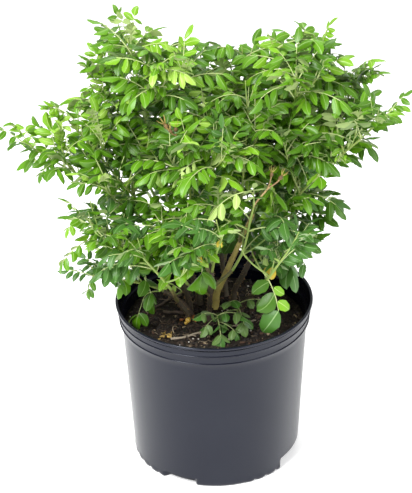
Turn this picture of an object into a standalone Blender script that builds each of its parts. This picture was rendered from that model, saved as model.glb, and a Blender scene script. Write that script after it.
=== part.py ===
"""Rose bush in a nursery pot: canes and side boughs carry masses of pinnate leaves over a filled pot.

Metres, +Z up. The origin is the centre of the pot's flat underside, and -Y is the bush's front.
"""

import math
import random

import bmesh
import bpy
import numpy as np
from mathutils import Matrix, Vector
from mathutils.bvhtree import BVHTree
from mathutils.geometry import interpolate_bezier

# The pot: a thin moulded wall that tapers to a flat foot with four drain notches.
POT_HEIGHT = 0.241
RIM_RADIUS = 0.138
LIP_HEIGHT = 0.0035
LIP_STEP = 0.0038
BAND_HEIGHT = 0.0120
BAND_STEP = 0.0030
STEP_DROP = 0.0020
FOOT_RADIUS = 0.1187
FOOT_ROUND = 0.004
WALL = 0.002
POT_SIDES = 40
NOTCH_ANGLES = (22, 117, 202, 297)
NOTCH_HEIGHT = 0.010
NOTCH_WIDTH = 0.040
NOTCH_DEPTH = 0.012

# The potting mix: a level middle that the canes stand on, and a slope down to the wall.
SOIL_TOP = 0.205
SOIL_LEVEL_RADIUS = 0.075
SOIL_FALL = 0.006
CLEAR = 0.0003
SOIL_CLEAR = 0.0006

# Canes and side boughs.
CANE_TIP_RADIUS = 0.0026
BOUGH_FOOT_RADIUS = 0.0026
BOUGH_TIP_RADIUS = 0.0021
LIMB_STEPS = 6
BOUGH_STEPS = 4
# How strongly a cane first climbs, how upright it stands in the soil, and how far a bough follows
# its cane before it turns away.
CANE_RISE = 0.8
FOOT_LEAN = 0.6
BOUGH_FOLLOW = 0.25
# The lengths of a bend's two handles, as shares of the gap that it crosses.
BEND_START = 0.36
BEND_END = 0.34
# Each cane: its foot on the soil (x, y), its radius there, where it enters its mass, and the tip
# that the mass reaches.
CANES = {
    "centre": ((0.001, 0.029), 0.0050, (0.056, 0.030, 0.355), (0.163, 0.050, 0.636)),
    "left_top": ((-0.020, 0.040), 0.0042, (-0.056, 0.045, 0.345), (-0.117, 0.055, 0.650)),
    "far_left": ((-0.034, 0.022), 0.0044, (-0.082, 0.008, 0.345), (-0.284, -0.010, 0.518)),
    "left_low": ((-0.036, 0.000), 0.0036, (-0.070, -0.022, 0.265), (-0.205, -0.045, 0.315)),
    "centre_top": ((-0.004, 0.056), 0.0040, (-0.012, 0.080, 0.345), (-0.020, 0.100, 0.590)),
    "far_right": ((0.026, 0.034), 0.0044, (0.090, 0.005, 0.360), (0.259, -0.030, 0.560)),
    "right_low": ((0.036, 0.010), 0.0036, (0.068, -0.016, 0.270), (0.132, -0.080, 0.385)),
    "back": ((0.017, 0.062), 0.0038, (0.006, 0.105, 0.320), (0.000, 0.225, 0.475)),
    "front": ((-0.007, -0.003), 0.0038, (-0.002, -0.050, 0.310), (0.015, -0.190, 0.455)),
}
# Each side bough: its cane, the share of the cane below it, where it enters its mass, and the tip.
BOUGHS = {
    "left_peak": ("left_top", 0.85, (-0.080, 0.068, 0.365), (-0.160, 0.075, 0.590)),
    "left_high": ("left_top", 0.70, (-0.084, 0.022, 0.360), (-0.214, 0.010, 0.545)),
    "left_mid": ("far_left", 0.50, (-0.092, -0.034, 0.315), (-0.200, -0.070, 0.435)),
    "right_inner": ("centre", 0.70, (0.038, -0.004, 0.370), (0.052, -0.025, 0.585)),
    "top_right": ("centre", 0.85, (0.064, 0.066, 0.370), (0.098, 0.100, 0.590)),
    "right_high": ("far_right", 0.80, (0.110, 0.036, 0.365), (0.218, 0.050, 0.575)),
    "right_mid": ("far_right", 0.45, (0.086, 0.048, 0.300), (0.165, 0.085, 0.400)),
    "front_left": ("left_low", 0.55, (-0.058, -0.070, 0.295), (-0.112, -0.160, 0.425)),
    "front_right": ("right_low", 0.60, (0.068, -0.066, 0.300), (0.108, -0.175, 0.430)),
    "front_top": ("front", 0.80, (-0.022, -0.040, 0.355), (-0.035, -0.080, 0.560)),
    "inner_left": ("front", 0.45, (-0.036, -0.040, 0.285), (-0.076, -0.105, 0.455)),
    "inner_right": ("front", 0.58, (0.026, -0.038, 0.305), (0.062, -0.115, 0.475)),
    "back_left": ("left_top", 0.50, (-0.074, 0.098, 0.320), (-0.170, 0.180, 0.475)),
    "back_right": ("back", 0.55, (0.068, 0.104, 0.320), (0.168, 0.182, 0.480)),
    "back_low": ("back", 0.35, (0.030, 0.128, 0.275), (0.050, 0.215, 0.325)),
}
# Young shoots: where each starts (a foot on the soil, or a cane and the share below it), its first
# heading, where its last leaf starts, how long its leaves are and how far they bend down.
SHOOTS = {
    "sprout_front": ((0.006, -0.038), (0.0, 0.0, 1.0), (0.002, -0.046, 0.234), 0.050, 0.5),
    "sprout_right": ((0.032, -0.014), (0.0, 0.0, 1.0), (0.040, -0.018, 0.240), 0.046, 0.5),
    "hanging_leaf": (("centre", 0.60), (0.6, -0.6, 0.35), (0.054, 0.000, 0.314), 0.104, 2.1),
}
# Dead wood: each stick's two ends on the soil (x, y) and its thick and thin radius.
STICKS = {
    "stick_left": ((-0.046, 0.064), (-0.088, 0.029), 0.0018, 0.0014),
    "stick_short": ((-0.042, 0.012), (-0.072, 0.018), 0.0021, 0.0018),
    "stick_front": ((-0.061, -0.055), (-0.008, -0.037), 0.0018, 0.0012),
    "stick_pale": ((0.020, -0.025), (0.058, -0.009), 0.0013, 0.0009),
    "stick_stub": ((0.015, -0.063), (0.038, -0.039), 0.0017, 0.0013),
}
STICK_SWAY = 0.05
DEAD_CANE = ((-0.030, 0.009), (-0.084, 0.018, 0.252), 0.0034, 0.0024)

# Shoots of the masses. A leader runs from its bough's tip towards the reach, and its tip leaf
# covers the last of the way.
SHOOT_RADIUS = 0.0018
SHOOT_TIP_RADIUS = 0.0012
LEADER_STEPS = 4
SIDE_STEPS = 2
TIP_LEAF = 0.090
TIP_LEAF_COVER = 0.85
# Side shoots: one more for each such length of the leader, where they start, how long they are as
# a share of it, and how they head forward, lift and bend up.
SIDE_SHOOT_SPACING = 0.120
SIDE_SHOOT_PLACES = (0.22, 0.62, 0.85)
SIDE_SHOOT_SHARE = 0.50
SIDE_SHOOT_FORWARD = 0.75
SIDE_SHOOT_LIFT = 0.25
SIDE_SHOOT_BEND = 0.70
# A side shoot is turned inward where it would leave the crown's outline. It stays below its
# leader's end, and lower still where it grows to the back.
SIDE_SHOOT_OUTWARD = 0.30
SIDE_SHOOT_DROP = 0.010
SIDE_SHOOT_BACK_FALL = 0.55
# Leaves: a rachis with pairs of leaflets and one at its end, set in turns along each shoot.
LEAF_LENGTH = 0.150
LEAF_SPACING = 0.098
BARE_SHARE = 0.08
# How long the leaves below a shoot's tip are, as shares of the full length, and the shares of the
# full spacing between them.
YOUNG_LEAVES = (0.85, 1.0)
YOUNG_SPACING = (0.46, 0.80, 1.0)
# The crown's underside: no leaf hangs below this height, which rises towards the front.
SKIRT_HEIGHT = 0.250
SKIRT_RISE = 0.45
# How far past its mass's reach a leaf may lean, and how far down its side of the shoot may point.
REACH_MARGIN = 0.006
LOW_SIDE = 0.25
LEAF_TURN = math.radians(144)
LEAF_PAIRS = 3
YOUNG_PAIRS = 2
LEAF_ARCH = 0.95
PETIOLE = 0.20
LAST_PAIR = 0.74
RACHIS_STEPS = 2
RACHIS_RADIUS = 0.0015
RACHIS_TAPER = 0.75
LEAFLET_LENGTH = 0.38
LEAFLET_WIDTH = 0.66
LEAFLET_TWIST = math.radians(14)
LEAFLET_FOLD = 0.036
LEAFLET_DROOP = 0.06
LEAFLET_SPREAD = math.radians(64)
PAIR_STAGGER = 0.0035
# How far a leaf may pass the surface halfway to the next mass's leader.
SPACE_OVERREACH = 0.045
# The heading of a leaf: forward along the shoot, out from the bush's middle, and up.
LEAF_FORWARD = 0.60
LEAF_OUTWARD = 0.25
LEAF_LIFT = 0.30
TIP_LEAF_SIDE = 0.12
TIP_ARCH_SHARE = 0.30
SIZE_SPREAD = 0.06
ROLL_SPREAD = 0.35
# The room round a twig that nothing else may enter, as a share of its radius, and how much of its
# first span is left out of that because it stands in what carries it.
SLEEVE_ROOM = 1.6
SLEEVE_ROOT = 0.20
# The turns round the shoot and the sizes that a leaf tries, in order, until one is free.
LEAF_TRIES = tuple((swing, size) for size in (1.0, 0.88, 0.76, 0.66)
                   for swing in (0.0, 0.5, -0.5, 1.1, -1.1, 1.8, -1.8, 2.5, 3.2))
SEED = 11
# A leaflet's outline as shares of its length and width, and its eight faces: a deck across its
# edges above and a keel along its middle below.
LEAFLET_OUTLINE = ((0.0, 0.0), (0.27, 0.48), (0.27, -0.48), (0.68, 0.40), (0.68, -0.40), (1.0, 0.0))
LEAFLET_FACES = ((0, 2, 1), (2, 4, 3), (2, 3, 1), (4, 5, 3), (0, 1, 5), (1, 3, 5), (0, 5, 2), (2, 5, 4))

COLOURS = {
    "pot_plastic": ((0.030, 0.032, 0.038), 0.42),
    "potting_mix": ((0.035, 0.022, 0.014), 0.95),
    "cane_bark": ((0.330, 0.270, 0.090), 0.70),
    "green_bough": ((0.300, 0.330, 0.090), 0.65),
    "rose_leaf": ((0.110, 0.290, 0.045), 0.55),
    "dead_wood": ((0.210, 0.160, 0.120), 0.90),
}


def clear_scene():
    for obj in list(bpy.data.objects):
        bpy.data.objects.remove(obj)


def new_collection(name, hidden=False):
    group = bpy.data.collections.new(name)
    group.hide_render = hidden
    bpy.context.scene.collection.children.link(group)
    return group


def principled(name):
    colour, roughness = COLOURS[name]
    material = bpy.data.materials.get(name) or bpy.data.materials.new(name)
    material.use_nodes = True
    shader = material.node_tree.nodes["Principled BSDF"]
    shader.inputs["Base Color"].default_value = (*colour, 1.0)
    shader.inputs["Roughness"].default_value = roughness
    shader.inputs["Metallic"].default_value = 0.0
    return material


def add_object(name, data, group, material=None):
    obj = bpy.data.objects.new(name, data)
    group.objects.link(obj)
    if material:
        data.materials.clear()
        data.materials.append(principled(material))
    return obj


def evaluated_mesh(obj):
    """The object's mesh with its modifiers and its curve caps welded."""
    bpy.context.view_layer.update()
    graph = bpy.context.evaluated_depsgraph_get()
    mesh = bpy.data.meshes.new_from_object(obj.evaluated_get(graph))
    shape = bmesh.new()
    shape.from_mesh(mesh)
    bmesh.ops.remove_doubles(shape, verts=shape.verts, dist=1e-6)
    bmesh.ops.recalc_face_normals(shape, faces=shape.faces)
    shape.to_mesh(mesh)
    shape.free()
    return mesh


def turned(name, profile, group, material):
    """A surface of revolution from an (r, z) profile that runs down its outer side."""
    mesh = bpy.data.meshes.new(name)
    points = [(r, 0.0, z) for r, z in profile]
    mesh.from_pydata(points, [(i, i + 1) for i in range(len(points) - 1)], [])
    obj = add_object(name, mesh, group, material)
    screw = obj.modifiers.new("turn", "SCREW")
    screw.steps = POT_SIDES
    screw.render_steps = POT_SIDES
    screw.use_merge_vertices = True
    screw.merge_threshold = 0.0001
    screw.use_smooth_shade = True
    return obj


def wall_top():
    """(r, z) where the pot's plain wall meets the step below its band."""
    return (RIM_RADIUS - LIP_STEP - BAND_STEP,
            POT_HEIGHT - LIP_HEIGHT - BAND_HEIGHT - 2 * STEP_DROP)


def wall_radius(z):
    """The outer radius of the pot's plain wall at a height."""
    top_radius, top = wall_top()
    return FOOT_RADIUS + (top_radius - FOOT_RADIUS) * (z - FOOT_ROUND) / (top - FOOT_ROUND)


def make_pot(group, cutters):
    lip_foot = POT_HEIGHT - LIP_HEIGHT
    band_foot = lip_foot - STEP_DROP - BAND_HEIGHT
    profile = [
        (RIM_RADIUS, POT_HEIGHT),
        (RIM_RADIUS, lip_foot),
        (RIM_RADIUS - LIP_STEP, lip_foot - STEP_DROP),
        (RIM_RADIUS - LIP_STEP, band_foot),
        wall_top(),
        (FOOT_RADIUS, FOOT_ROUND),
        (FOOT_RADIUS - 0.3 * FOOT_ROUND, 0.3 * FOOT_ROUND),
        (FOOT_RADIUS - FOOT_ROUND, 0.0),
        (0.0, 0.0),
    ]
    pot = turned("pot", profile, group, "pot_plastic")
    shell = pot.modifiers.new("wall", "SOLIDIFY")
    shell.thickness = WALL
    shell.offset = -1.0
    shell.use_even_offset = True
    for angle in NOTCH_ANGLES:
        cutter = notch_cutter(angle, cutters)
        cut = pot.modifiers.new(cutter.name, "BOOLEAN")
        cut.operation = "DIFFERENCE"
        cut.solver = "EXACT"
        cut.object = cutter
    return pot


def notch_cutter(angle, cutters):
    bpy.ops.mesh.primitive_cube_add(size=1.0)
    cutter = bpy.context.object
    cutter.name = f"drain_notch_{angle}"
    cutter.scale = (2 * NOTCH_DEPTH, NOTCH_WIDTH, 2 * NOTCH_HEIGHT)
    turn = Matrix.Rotation(math.radians(-angle), 4, "Z")
    cutter.rotation_euler = turn.to_euler()
    cutter.location = turn @ Vector((FOOT_RADIUS, 0.0, 0.0))
    for owner in list(cutter.users_collection):
        owner.objects.unlink(cutter)
    cutters.objects.link(cutter)
    cutter.hide_render = True
    cutter.display_type = "WIRE"
    return cutter


def make_soil(group):
    """The filling, clear of the wall, with its level middle and its lower edge."""
    edge_top = SOIL_TOP - SOIL_FALL
    floor = WALL + SOIL_CLEAR
    profile = [
        (0.0, SOIL_TOP),
        (SOIL_LEVEL_RADIUS, SOIL_TOP),
        (wall_radius(edge_top) - WALL - SOIL_CLEAR, edge_top),
        (wall_radius(NOTCH_HEIGHT) - WALL - SOIL_CLEAR, NOTCH_HEIGHT),
        (FOOT_RADIUS - FOOT_ROUND - WALL, floor),
        (0.0, floor),
    ]
    return turned("soil", profile, group, "potting_mix")


def triangle_profile(cutters):
    """A three-sided section of unit radius, which a twig's points scale."""
    data = bpy.data.curves.new("twig_section", "CURVE")
    spline = data.splines.new("POLY")
    spline.points.add(2)
    spline.use_cyclic_u = True
    for i, point in enumerate(spline.points):
        angle = math.pi / 2 - 2 * math.pi * i / 3
        point.co = (math.cos(angle), math.sin(angle), 0.0, 1.0)
    section = add_object("twig_section", data, cutters)
    section.hide_render = True
    return section


def tube(name, paths, group, material, section=None, sides_level=1):
    """Tapered tubes with filled caps, one for each (points, first radius, last radius)."""
    data = bpy.data.curves.new(name, "CURVE")
    data.dimensions = "3D"
    data.use_fill_caps = True
    if section:
        data.twist_mode = "Z_UP"
        data.bevel_mode = "OBJECT"
        data.bevel_object = section
    else:
        data.bevel_depth = 1.0
        data.bevel_resolution = sides_level
    for points, first, last in paths:
        spline = data.splines.new("POLY")
        spline.points.add(len(points) - 1)
        for i, (point, place) in enumerate(zip(spline.points, points)):
            point.co = (*place, 1.0)
            point.radius = first + (last - first) * i / (len(points) - 1)
    return add_object(name, data, group, material)


def bent_path(start, heading, end, end_heading, steps):
    """A smooth run of points that leaves start along heading and arrives along end_heading."""
    gap = (end - start).length
    first = start + heading.normalized() * gap * BEND_START
    last = end - end_heading.normalized() * gap * BEND_END
    return interpolate_bezier(start, first, last, end, steps + 1)


def plan_limbs():
    """Every cane and side bough: its path, radii, heading at its tip, reach and parent."""
    limbs = {}
    for name, (foot, radius, entry, reach) in CANES.items():
        start = Vector((*foot, SOIL_TOP + CLEAR))
        rise = (Vector(entry) - start).normalized() + Vector((0, 0, CANE_RISE))
        limbs[name] = limb_plan(start, rise, entry, reach, radius, CANE_TIP_RADIUS, LIMB_STEPS)
        path = limbs[name]["path"]
        path[1].xy = path[0].xy.lerp(path[1].xy, FOOT_LEAN)
    for name, (parent, share, entry, reach) in BOUGHS.items():
        cane = limbs[parent]["path"]
        place = share * (len(cane) - 1)
        low = int(place)
        start = cane[low].lerp(cane[low + 1], place - low)
        along = (cane[low + 1] - cane[low]).normalized()
        leave = (Vector(entry) - start).normalized() + along * BOUGH_FOLLOW
        limbs[name] = limb_plan(start, leave, entry, reach, BOUGH_FOOT_RADIUS, BOUGH_TIP_RADIUS,
                                BOUGH_STEPS)
        limbs[name]["parent"] = parent
    return limbs


def limb_plan(start, leave, entry, reach, foot, tip, steps):
    entry, reach = Vector(entry), Vector(reach)
    heading = ((entry - start).normalized() + (reach - entry).normalized()).normalized()
    path = bent_path(start, leave, entry, heading, steps)
    return dict(path=path, foot=foot, tip=tip, heading=heading, reach=reach, parent=None)


def limb_solid(name, path, foot, tip, group, material):
    """A tapering limb as a mesh."""
    pipe = tube("limb_pipe", [(path, foot, tip)], group, material)
    solid = add_object(name, evaluated_mesh(pipe), group, material)
    bpy.data.objects.remove(pipe)
    return solid


def cut_foot(solid, foot):
    """Levels the end face of a limb that stands on the soil."""
    for vertex in solid.data.vertices:
        if vertex.co.z < SOIL_TOP + CLEAR + foot:
            vertex.co.z = SOIL_TOP + CLEAR


def make_limbs(limbs, group, cutters):
    for name, limb in limbs.items():
        measures = limb["path"], limb["foot"], limb["tip"]
        if limb["parent"] is None:
            cut_foot(limb_solid(f"cane_{name}", *measures, group, "cane_bark"), limb["foot"])
            continue
        solid = limb_solid(f"bough_{name}", *measures, group, "green_bough")
        seat = seat_cutter(name, limbs[limb["parent"]], cutters)
        cut = solid.modifiers.new("seat", "BOOLEAN")
        cut.operation = "DIFFERENCE"
        cut.solver = "EXACT"
        cut.object = seat


def make_dead_wood(group):
    for name, (thick, thin, foot, tip) in STICKS.items():
        start = Vector((*thick, SOIL_TOP + CLEAR + foot))
        end = Vector((*thin, SOIL_TOP + CLEAR + foot))
        side = (end - start).cross(Vector((0, 0, 1))) * STICK_SWAY
        run = [start, start.lerp(end, 0.35) + side, start.lerp(end, 0.7) - side * 0.4, end]
        tube(name, [(run, foot, tip)], group, "dead_wood")
    foot, top, thick, thin = DEAD_CANE
    start, end = Vector((*foot, SOIL_TOP + CLEAR)), Vector(top)
    path = bent_path(start, end - start + Vector((0, 0, 0.1)), end, end - start, 3)
    cut_foot(limb_solid("dead_cane", path, thick, thin, group, "dead_wood"), thick)


def seat_cutter(name, cane, cutters):
    """The cane with its clearance, which shapes the end of a side bough to sit on it."""
    seat = limb_solid(f"seat_{name}", cane["path"], cane["foot"] + CLEAR, cane["tip"] + CLEAR,
                      cutters, "cane_bark")
    seat.hide_render = True
    seat.display_type = "WIRE"
    return seat


def leaflet_points(root, heading, normal, length):
    """The outline of a folded leaflet: root, the two shoulders, the two far shoulders and tip."""
    side = normal.cross(heading).normalized()
    up = heading.cross(side).normalized()
    placed = []
    for along, across in LEAFLET_OUTLINE:
        lift = LEAFLET_FOLD * abs(across) / 0.48 - LEAFLET_DROOP * along * along
        place = heading * along + side * (across * LEAFLET_WIDTH) + up * lift
        placed.append(root + place * length)
    return placed


def raised(spread):
    """A sideways direction turned to the upper side of its shoot where it would point down."""
    return -spread if spread.z < -LOW_SIDE else spread


def leaf_plan(root, heading, length, arch, roll, pairs):
    """A pinnate leaf: its rachis and the points of each of its leaflets."""
    span = length * (1 - LEAFLET_LENGTH)
    path = [root.copy()]
    way = heading.copy()
    for _ in range(RACHIS_STEPS):
        path.append(path[-1] + way * span / RACHIS_STEPS)
        way = (way + Vector((0, 0, -arch / RACHIS_STEPS))).normalized()
    flat = heading.cross(Vector((0, 0, 1)))
    if flat.length < 0.2:
        flat = heading.orthogonal()
    flat = (Matrix.Rotation(roll, 3, heading) @ flat.normalized()).normalized()
    leaflets = []
    for pair in range(pairs):
        share = LAST_PAIR - (LAST_PAIR - PETIOLE) * (pairs - 1 - pair) / (LEAF_PAIRS - 1)
        size = length * LEAFLET_LENGTH * (1.0 - 0.09 * (pairs - 1 - pair))
        place = share * RACHIS_STEPS
        low = min(int(place), RACHIS_STEPS - 1)
        way = (path[low + 1] - path[low]).normalized()
        base = path[low].lerp(path[low + 1], place - low)
        for hand in (-1, 1):
            out = way * math.cos(LEAFLET_SPREAD) + flat * hand * math.sin(LEAFLET_SPREAD)
            foot = base + way * PAIR_STAGGER * 0.5 * hand - out * RACHIS_RADIUS * 0.2
            normal = Matrix.Rotation(LEAFLET_TWIST * hand, 3, out) @ flat.cross(way)
            leaflets.append(leaflet_points(foot, out.normalized(), normal, size))
    way = (path[-1] - path[-2]).normalized()
    foot = path[-1] - way * 0.0008
    leaflets.append(leaflet_points(foot, way, flat.cross(way), length * LEAFLET_LENGTH))
    return path, leaflets


def leaflet_polygons(count):
    """The faces of a run of leaflets kept in one list of points."""
    size = len(LEAFLET_OUTLINE)
    return [[i + size * k for i in face] for k in range(count) for face in LEAFLET_FACES]


def sleeve(path, radius):
    """The points of a three-sided tube round a path past its root, to test what it would touch."""
    radius *= SLEEVE_ROOM
    path = [path[0].lerp(path[1], SLEEVE_ROOT), *path[1:]]
    points = []
    for i, place in enumerate(path):
        along = (path[min(i + 1, len(path) - 1)] - path[max(i - 1, 0)]).normalized()
        across = along.orthogonal().normalized()
        for k in range(3):
            points.append(place + Matrix.Rotation(2 * math.pi * k / 3, 3, along) @ across * radius)
    return points


def sleeve_faces(count):
    rings = range(count - 1)
    return [(3 * i + k, 3 * i + (k + 1) % 3, 3 * i + 3 + (k + 1) % 3, 3 * i + 3 + k)
            for i in rings for k in range(3)]


class Touch:
    """What has grown so far, kept as search trees that a new piece is tested against."""

    def __init__(self, still):
        self.trees = [still]
        self.fresh = ([], [])
        self.fresh_tree = None

    def add(self, points, faces):
        held, polygons = self.fresh
        polygons += [[i + len(held) for i in face] for face in faces]
        held += points
        self.fresh_tree = BVHTree.FromPolygons(held, polygons)
        if len(polygons) > 1500:
            self.trees.append(self.fresh_tree)
            self.fresh = ([], [])
            self.fresh_tree = None

    def hit(self, points, faces):
        tree = BVHTree.FromPolygons(points, faces)
        trees = self.trees + ([self.fresh_tree] if self.fresh_tree else [])
        return any(tree.overlap(other) for other in trees)


def object_tree(objects, grow=0.0):
    points, polygons = [], []
    for obj in objects:
        mesh = evaluated_mesh(obj)
        polygons += [[i + len(points) for i in face.vertices] for face in mesh.polygons]
        points += [obj.matrix_world @ (v.co + v.normal * grow) for v in mesh.vertices]
        bpy.data.meshes.remove(mesh)
    return BVHTree.FromPolygons(points, polygons)


class Spaces:
    """Each mass's own space: what lies nearer to its leader than to any other leader."""

    def __init__(self, leaders):
        self.names = list(leaders)
        runs = []
        for leader in leaders.values():
            steps = len(leader) - 1
            runs.append([leader[min(int(i * steps / 15), steps - 1)].lerp(
                leader[min(int(i * steps / 15), steps - 1) + 1],
                i * steps / 15 - min(int(i * steps / 15), steps - 1)) for i in range(16)])
        self.runs = np.array(runs)

    def holds(self, name, points):
        own = self.names.index(name)
        places = np.array(points)[:, None, None, :]
        gaps = np.linalg.norm(places - self.runs[None], axis=3).min(axis=2)
        others = np.delete(gaps, own, axis=1).min(axis=1)
        return bool((gaps[:, own] < others + SPACE_OVERREACH).all())


def stand_off(path, outward):
    """Moves a stem's foot off what carries it, by the clearance and its end face's tilt."""
    tilt = outward.angle(path[1] - path[0])
    path[0] += outward.normalized() * (CLEAR + BOUGH_TIP_RADIUS * math.sin(tilt))
    return path


def plan_leader(limb):
    tip = limb["path"][-1]
    end_heading = (limb["reach"] - tip).normalized()
    end = limb["reach"] - end_heading * TIP_LEAF * TIP_LEAF_COVER
    leader = bent_path(tip, limb["heading"], end, end_heading, LEADER_STEPS)
    return stand_off(leader, tip - limb["path"][-2])


def plan_shoot(limbs, start, heading, end):
    """The short stem of a young shoot, from the soil or from a cane's side."""
    heading, end = Vector(heading), Vector(end)
    if isinstance(start[0], str):
        cane = limbs[start[0]]
        path = cane["path"]
        place = start[1] * (len(path) - 1)
        low = int(place)
        radius = cane["foot"] + (cane["tip"] - cane["foot"]) * start[1]
        along = (path[low + 1] - path[low]).normalized()
        out = (heading - along * heading.dot(along)).normalized()
        origin = path[low].lerp(path[low + 1], place - low) + out * radius
        return stand_off(bent_path(origin, out, end, heading, SIDE_STEPS), out)
    origin = Vector((*start, SOIL_TOP))
    return stand_off(bent_path(origin, heading, end, end - origin, SIDE_STEPS), heading)


def side_shoots(leader, rng):
    """Side shoots that leave a leader by turns and bend upward."""
    length = sum((b - a).length for a, b in zip(leader, leader[1:]))
    turn = rng.uniform(0, 2 * math.pi)
    shoots = []
    count = 1 + int(length / SIDE_SHOOT_SPACING)
    for share in SIDE_SHOOT_PLACES[:count]:
        place = share * (len(leader) - 1)
        low = int(place)
        root = leader[low].lerp(leader[low + 1], place - low)
        along = (leader[low + 1] - leader[low]).normalized()
        turn += LEAF_TURN
        outward = raised(Matrix.Rotation(turn, 3, along) @ along.orthogonal().normalized())
        radial = Vector((root.x, root.y, 0.0)).normalized()
        if outward.dot(radial) > SIDE_SHOOT_OUTWARD:
            outward -= 2 * outward.dot(radial) * radial
        heading = (along * SIDE_SHOOT_FORWARD + outward).normalized()
        span = length * SIDE_SHOOT_SHARE * rng.uniform(0.85, 1.1)
        tip = root + (heading + Vector((0, 0, SIDE_SHOOT_LIFT))).normalized() * span
        behind = max(tip.y - leader[-1].y, 0.0)
        tip.z = min(tip.z, leader[-1].z - SIDE_SHOOT_DROP - SIDE_SHOOT_BACK_FALL * behind)
        bend = heading + Vector((0, 0, SIDE_SHOOT_BEND))
        shoots.append(bent_path(root, heading, tip, bend, SIDE_STEPS))
    return shoots


def leaf_nodes(shoot, spacing):
    """(place, direction) of each leaf on a shoot, from its tip down."""
    spans = [(b - a).length for a, b in zip(shoot, shoot[1:])]
    length = sum(spans)
    left = length
    nodes = []
    while left > length * BARE_SHARE:
        rest = left
        for (a, b), span in zip(zip(shoot, shoot[1:]), spans):
            if rest <= span + 1e-9:
                nodes.append((a.lerp(b, min(rest / span, 1.0)), (b - a).normalized()))
                break
            rest -= span
        left -= spacing * YOUNG_SPACING[min(len(nodes), len(YOUNG_SPACING)) - 1]
    return nodes


def grow_masses(limbs, group, section, still):
    """Grows every mass by the same seeded rule, tips first. Returns how many leaves each holds."""
    plans = {}
    leaders = {name: plan_leader(limb) for name, limb in limbs.items()}
    leaders.update({name: plan_shoot(limbs, *shoot[:3]) for name, shoot in SHOOTS.items()})
    spaces = Spaces(leaders)
    touch = Touch(still)
    for number, (name, leader) in enumerate(leaders.items()):
        rng = random.Random(SEED + number)
        plans[name] = dict(shoots=[leader], rng=rng, leaves=[], rachises=[],
                           turn=rng.uniform(0, 2 * math.pi), leaf=LEAF_LENGTH, tip_leaf=TIP_LEAF,
                           arch=LEAF_ARCH, tip_arch=LEAF_ARCH * TIP_ARCH_SHARE, reach=None)
        if name in SHOOTS:
            length, arch = SHOOTS[name][3:]
            plans[name].update(leaf=length, tip_leaf=length, arch=arch, tip_arch=arch)
        else:
            plans[name]["reach"] = (limbs[name]["reach"], (leader[-1] - leader[-2]).normalized())
        touch.add(sleeve(leader, SHOOT_RADIUS), sleeve_faces(len(leader)))
    for name, plan in plans.items():
        if name in SHOOTS:
            continue
        for shoot in side_shoots(plan["shoots"][0], plan["rng"]):
            body = sleeve(shoot, SHOOT_RADIUS)
            ring = sleeve_faces(len(shoot))
            if spaces.holds(name, shoot) and not touch.hit(body, ring):
                plan["shoots"].append(shoot)
                touch.add(body, ring)
    queue = []
    for name, plan in plans.items():
        for order, shoot in enumerate(plan["shoots"]):
            spacing = LEAF_SPACING * plan["leaf"] / LEAF_LENGTH
            for number, (place, along) in enumerate(leaf_nodes(shoot, spacing)):
                queue.append((number, order, list(plans).index(name), place, along))
    queue.sort(key=lambda item: item[:3])
    for number, order, owner, place, along in queue:
        name = list(plans)[owner]
        plan = plans[name]
        plan["turn"] += LEAF_TURN
        found = fit_leaf(name, place, along, plan, number, spaces, touch)
        if found:
            plan["rachises"].append(found[0])
            plan["leaves"] += found[1]
    for name, plan in plans.items():
        fuse_mass(name, plan, group, section)
    return {name: len(plan["rachises"]) for name, plan in plans.items()}


def keeps_within(plan, points):
    """Whether a leaf stays inside its mass's reach and above the crown's underside."""
    tip, onward = plan["reach"]
    return all((p - tip).dot(onward) < REACH_MARGIN and p.z < tip.z + REACH_MARGIN
               and p.z > SKIRT_HEIGHT - SKIRT_RISE * min(p.y, 0.0) for p in points)


def fit_leaf(name, place, along, plan, number, spaces, touch):
    """The first leaf, of the turns and sizes tried, that keeps to its space and touches nothing."""
    rng = plan["rng"]
    outward = Vector((place.x, place.y, 0.0)).normalized()
    across = along.orthogonal().normalized()
    for swing, scale in LEAF_TRIES:
        spread = raised(Matrix.Rotation(plan["turn"] + swing, 3, along) @ across)
        if number == 0:
            heading = along + spread * TIP_LEAF_SIDE
            size, arch = plan["tip_leaf"] * scale, plan["tip_arch"]
        else:
            heading = along * LEAF_FORWARD + spread + outward * LEAF_OUTWARD
            heading.z += LEAF_LIFT
            young = YOUNG_LEAVES[min(number, len(YOUNG_LEAVES)) - 1]
            size = plan["leaf"] * young * scale * rng.uniform(1 - SIZE_SPREAD, 1 + SIZE_SPREAD)
            arch = plan["arch"]
        pairs = YOUNG_PAIRS if number < 2 else LEAF_PAIRS
        path, leaflets = leaf_plan(place, heading.normalized(), size, arch,
                                   rng.uniform(-ROLL_SPREAD, ROLL_SPREAD), pairs)
        points = [p for leaflet in leaflets for p in leaflet]
        rachis = sleeve(path, RACHIS_RADIUS)
        if name not in SHOOTS:
            if not keeps_within(plan, points) or not spaces.holds(name, points):
                continue
        polygons = leaflet_polygons(len(leaflets))
        ring = sleeve_faces(len(path))
        if touch.hit(points, polygons) or touch.hit(rachis, ring):
            continue
        touch.add(points, polygons)
        touch.add(rachis, ring)
        return path, leaflets
    return None


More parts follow.
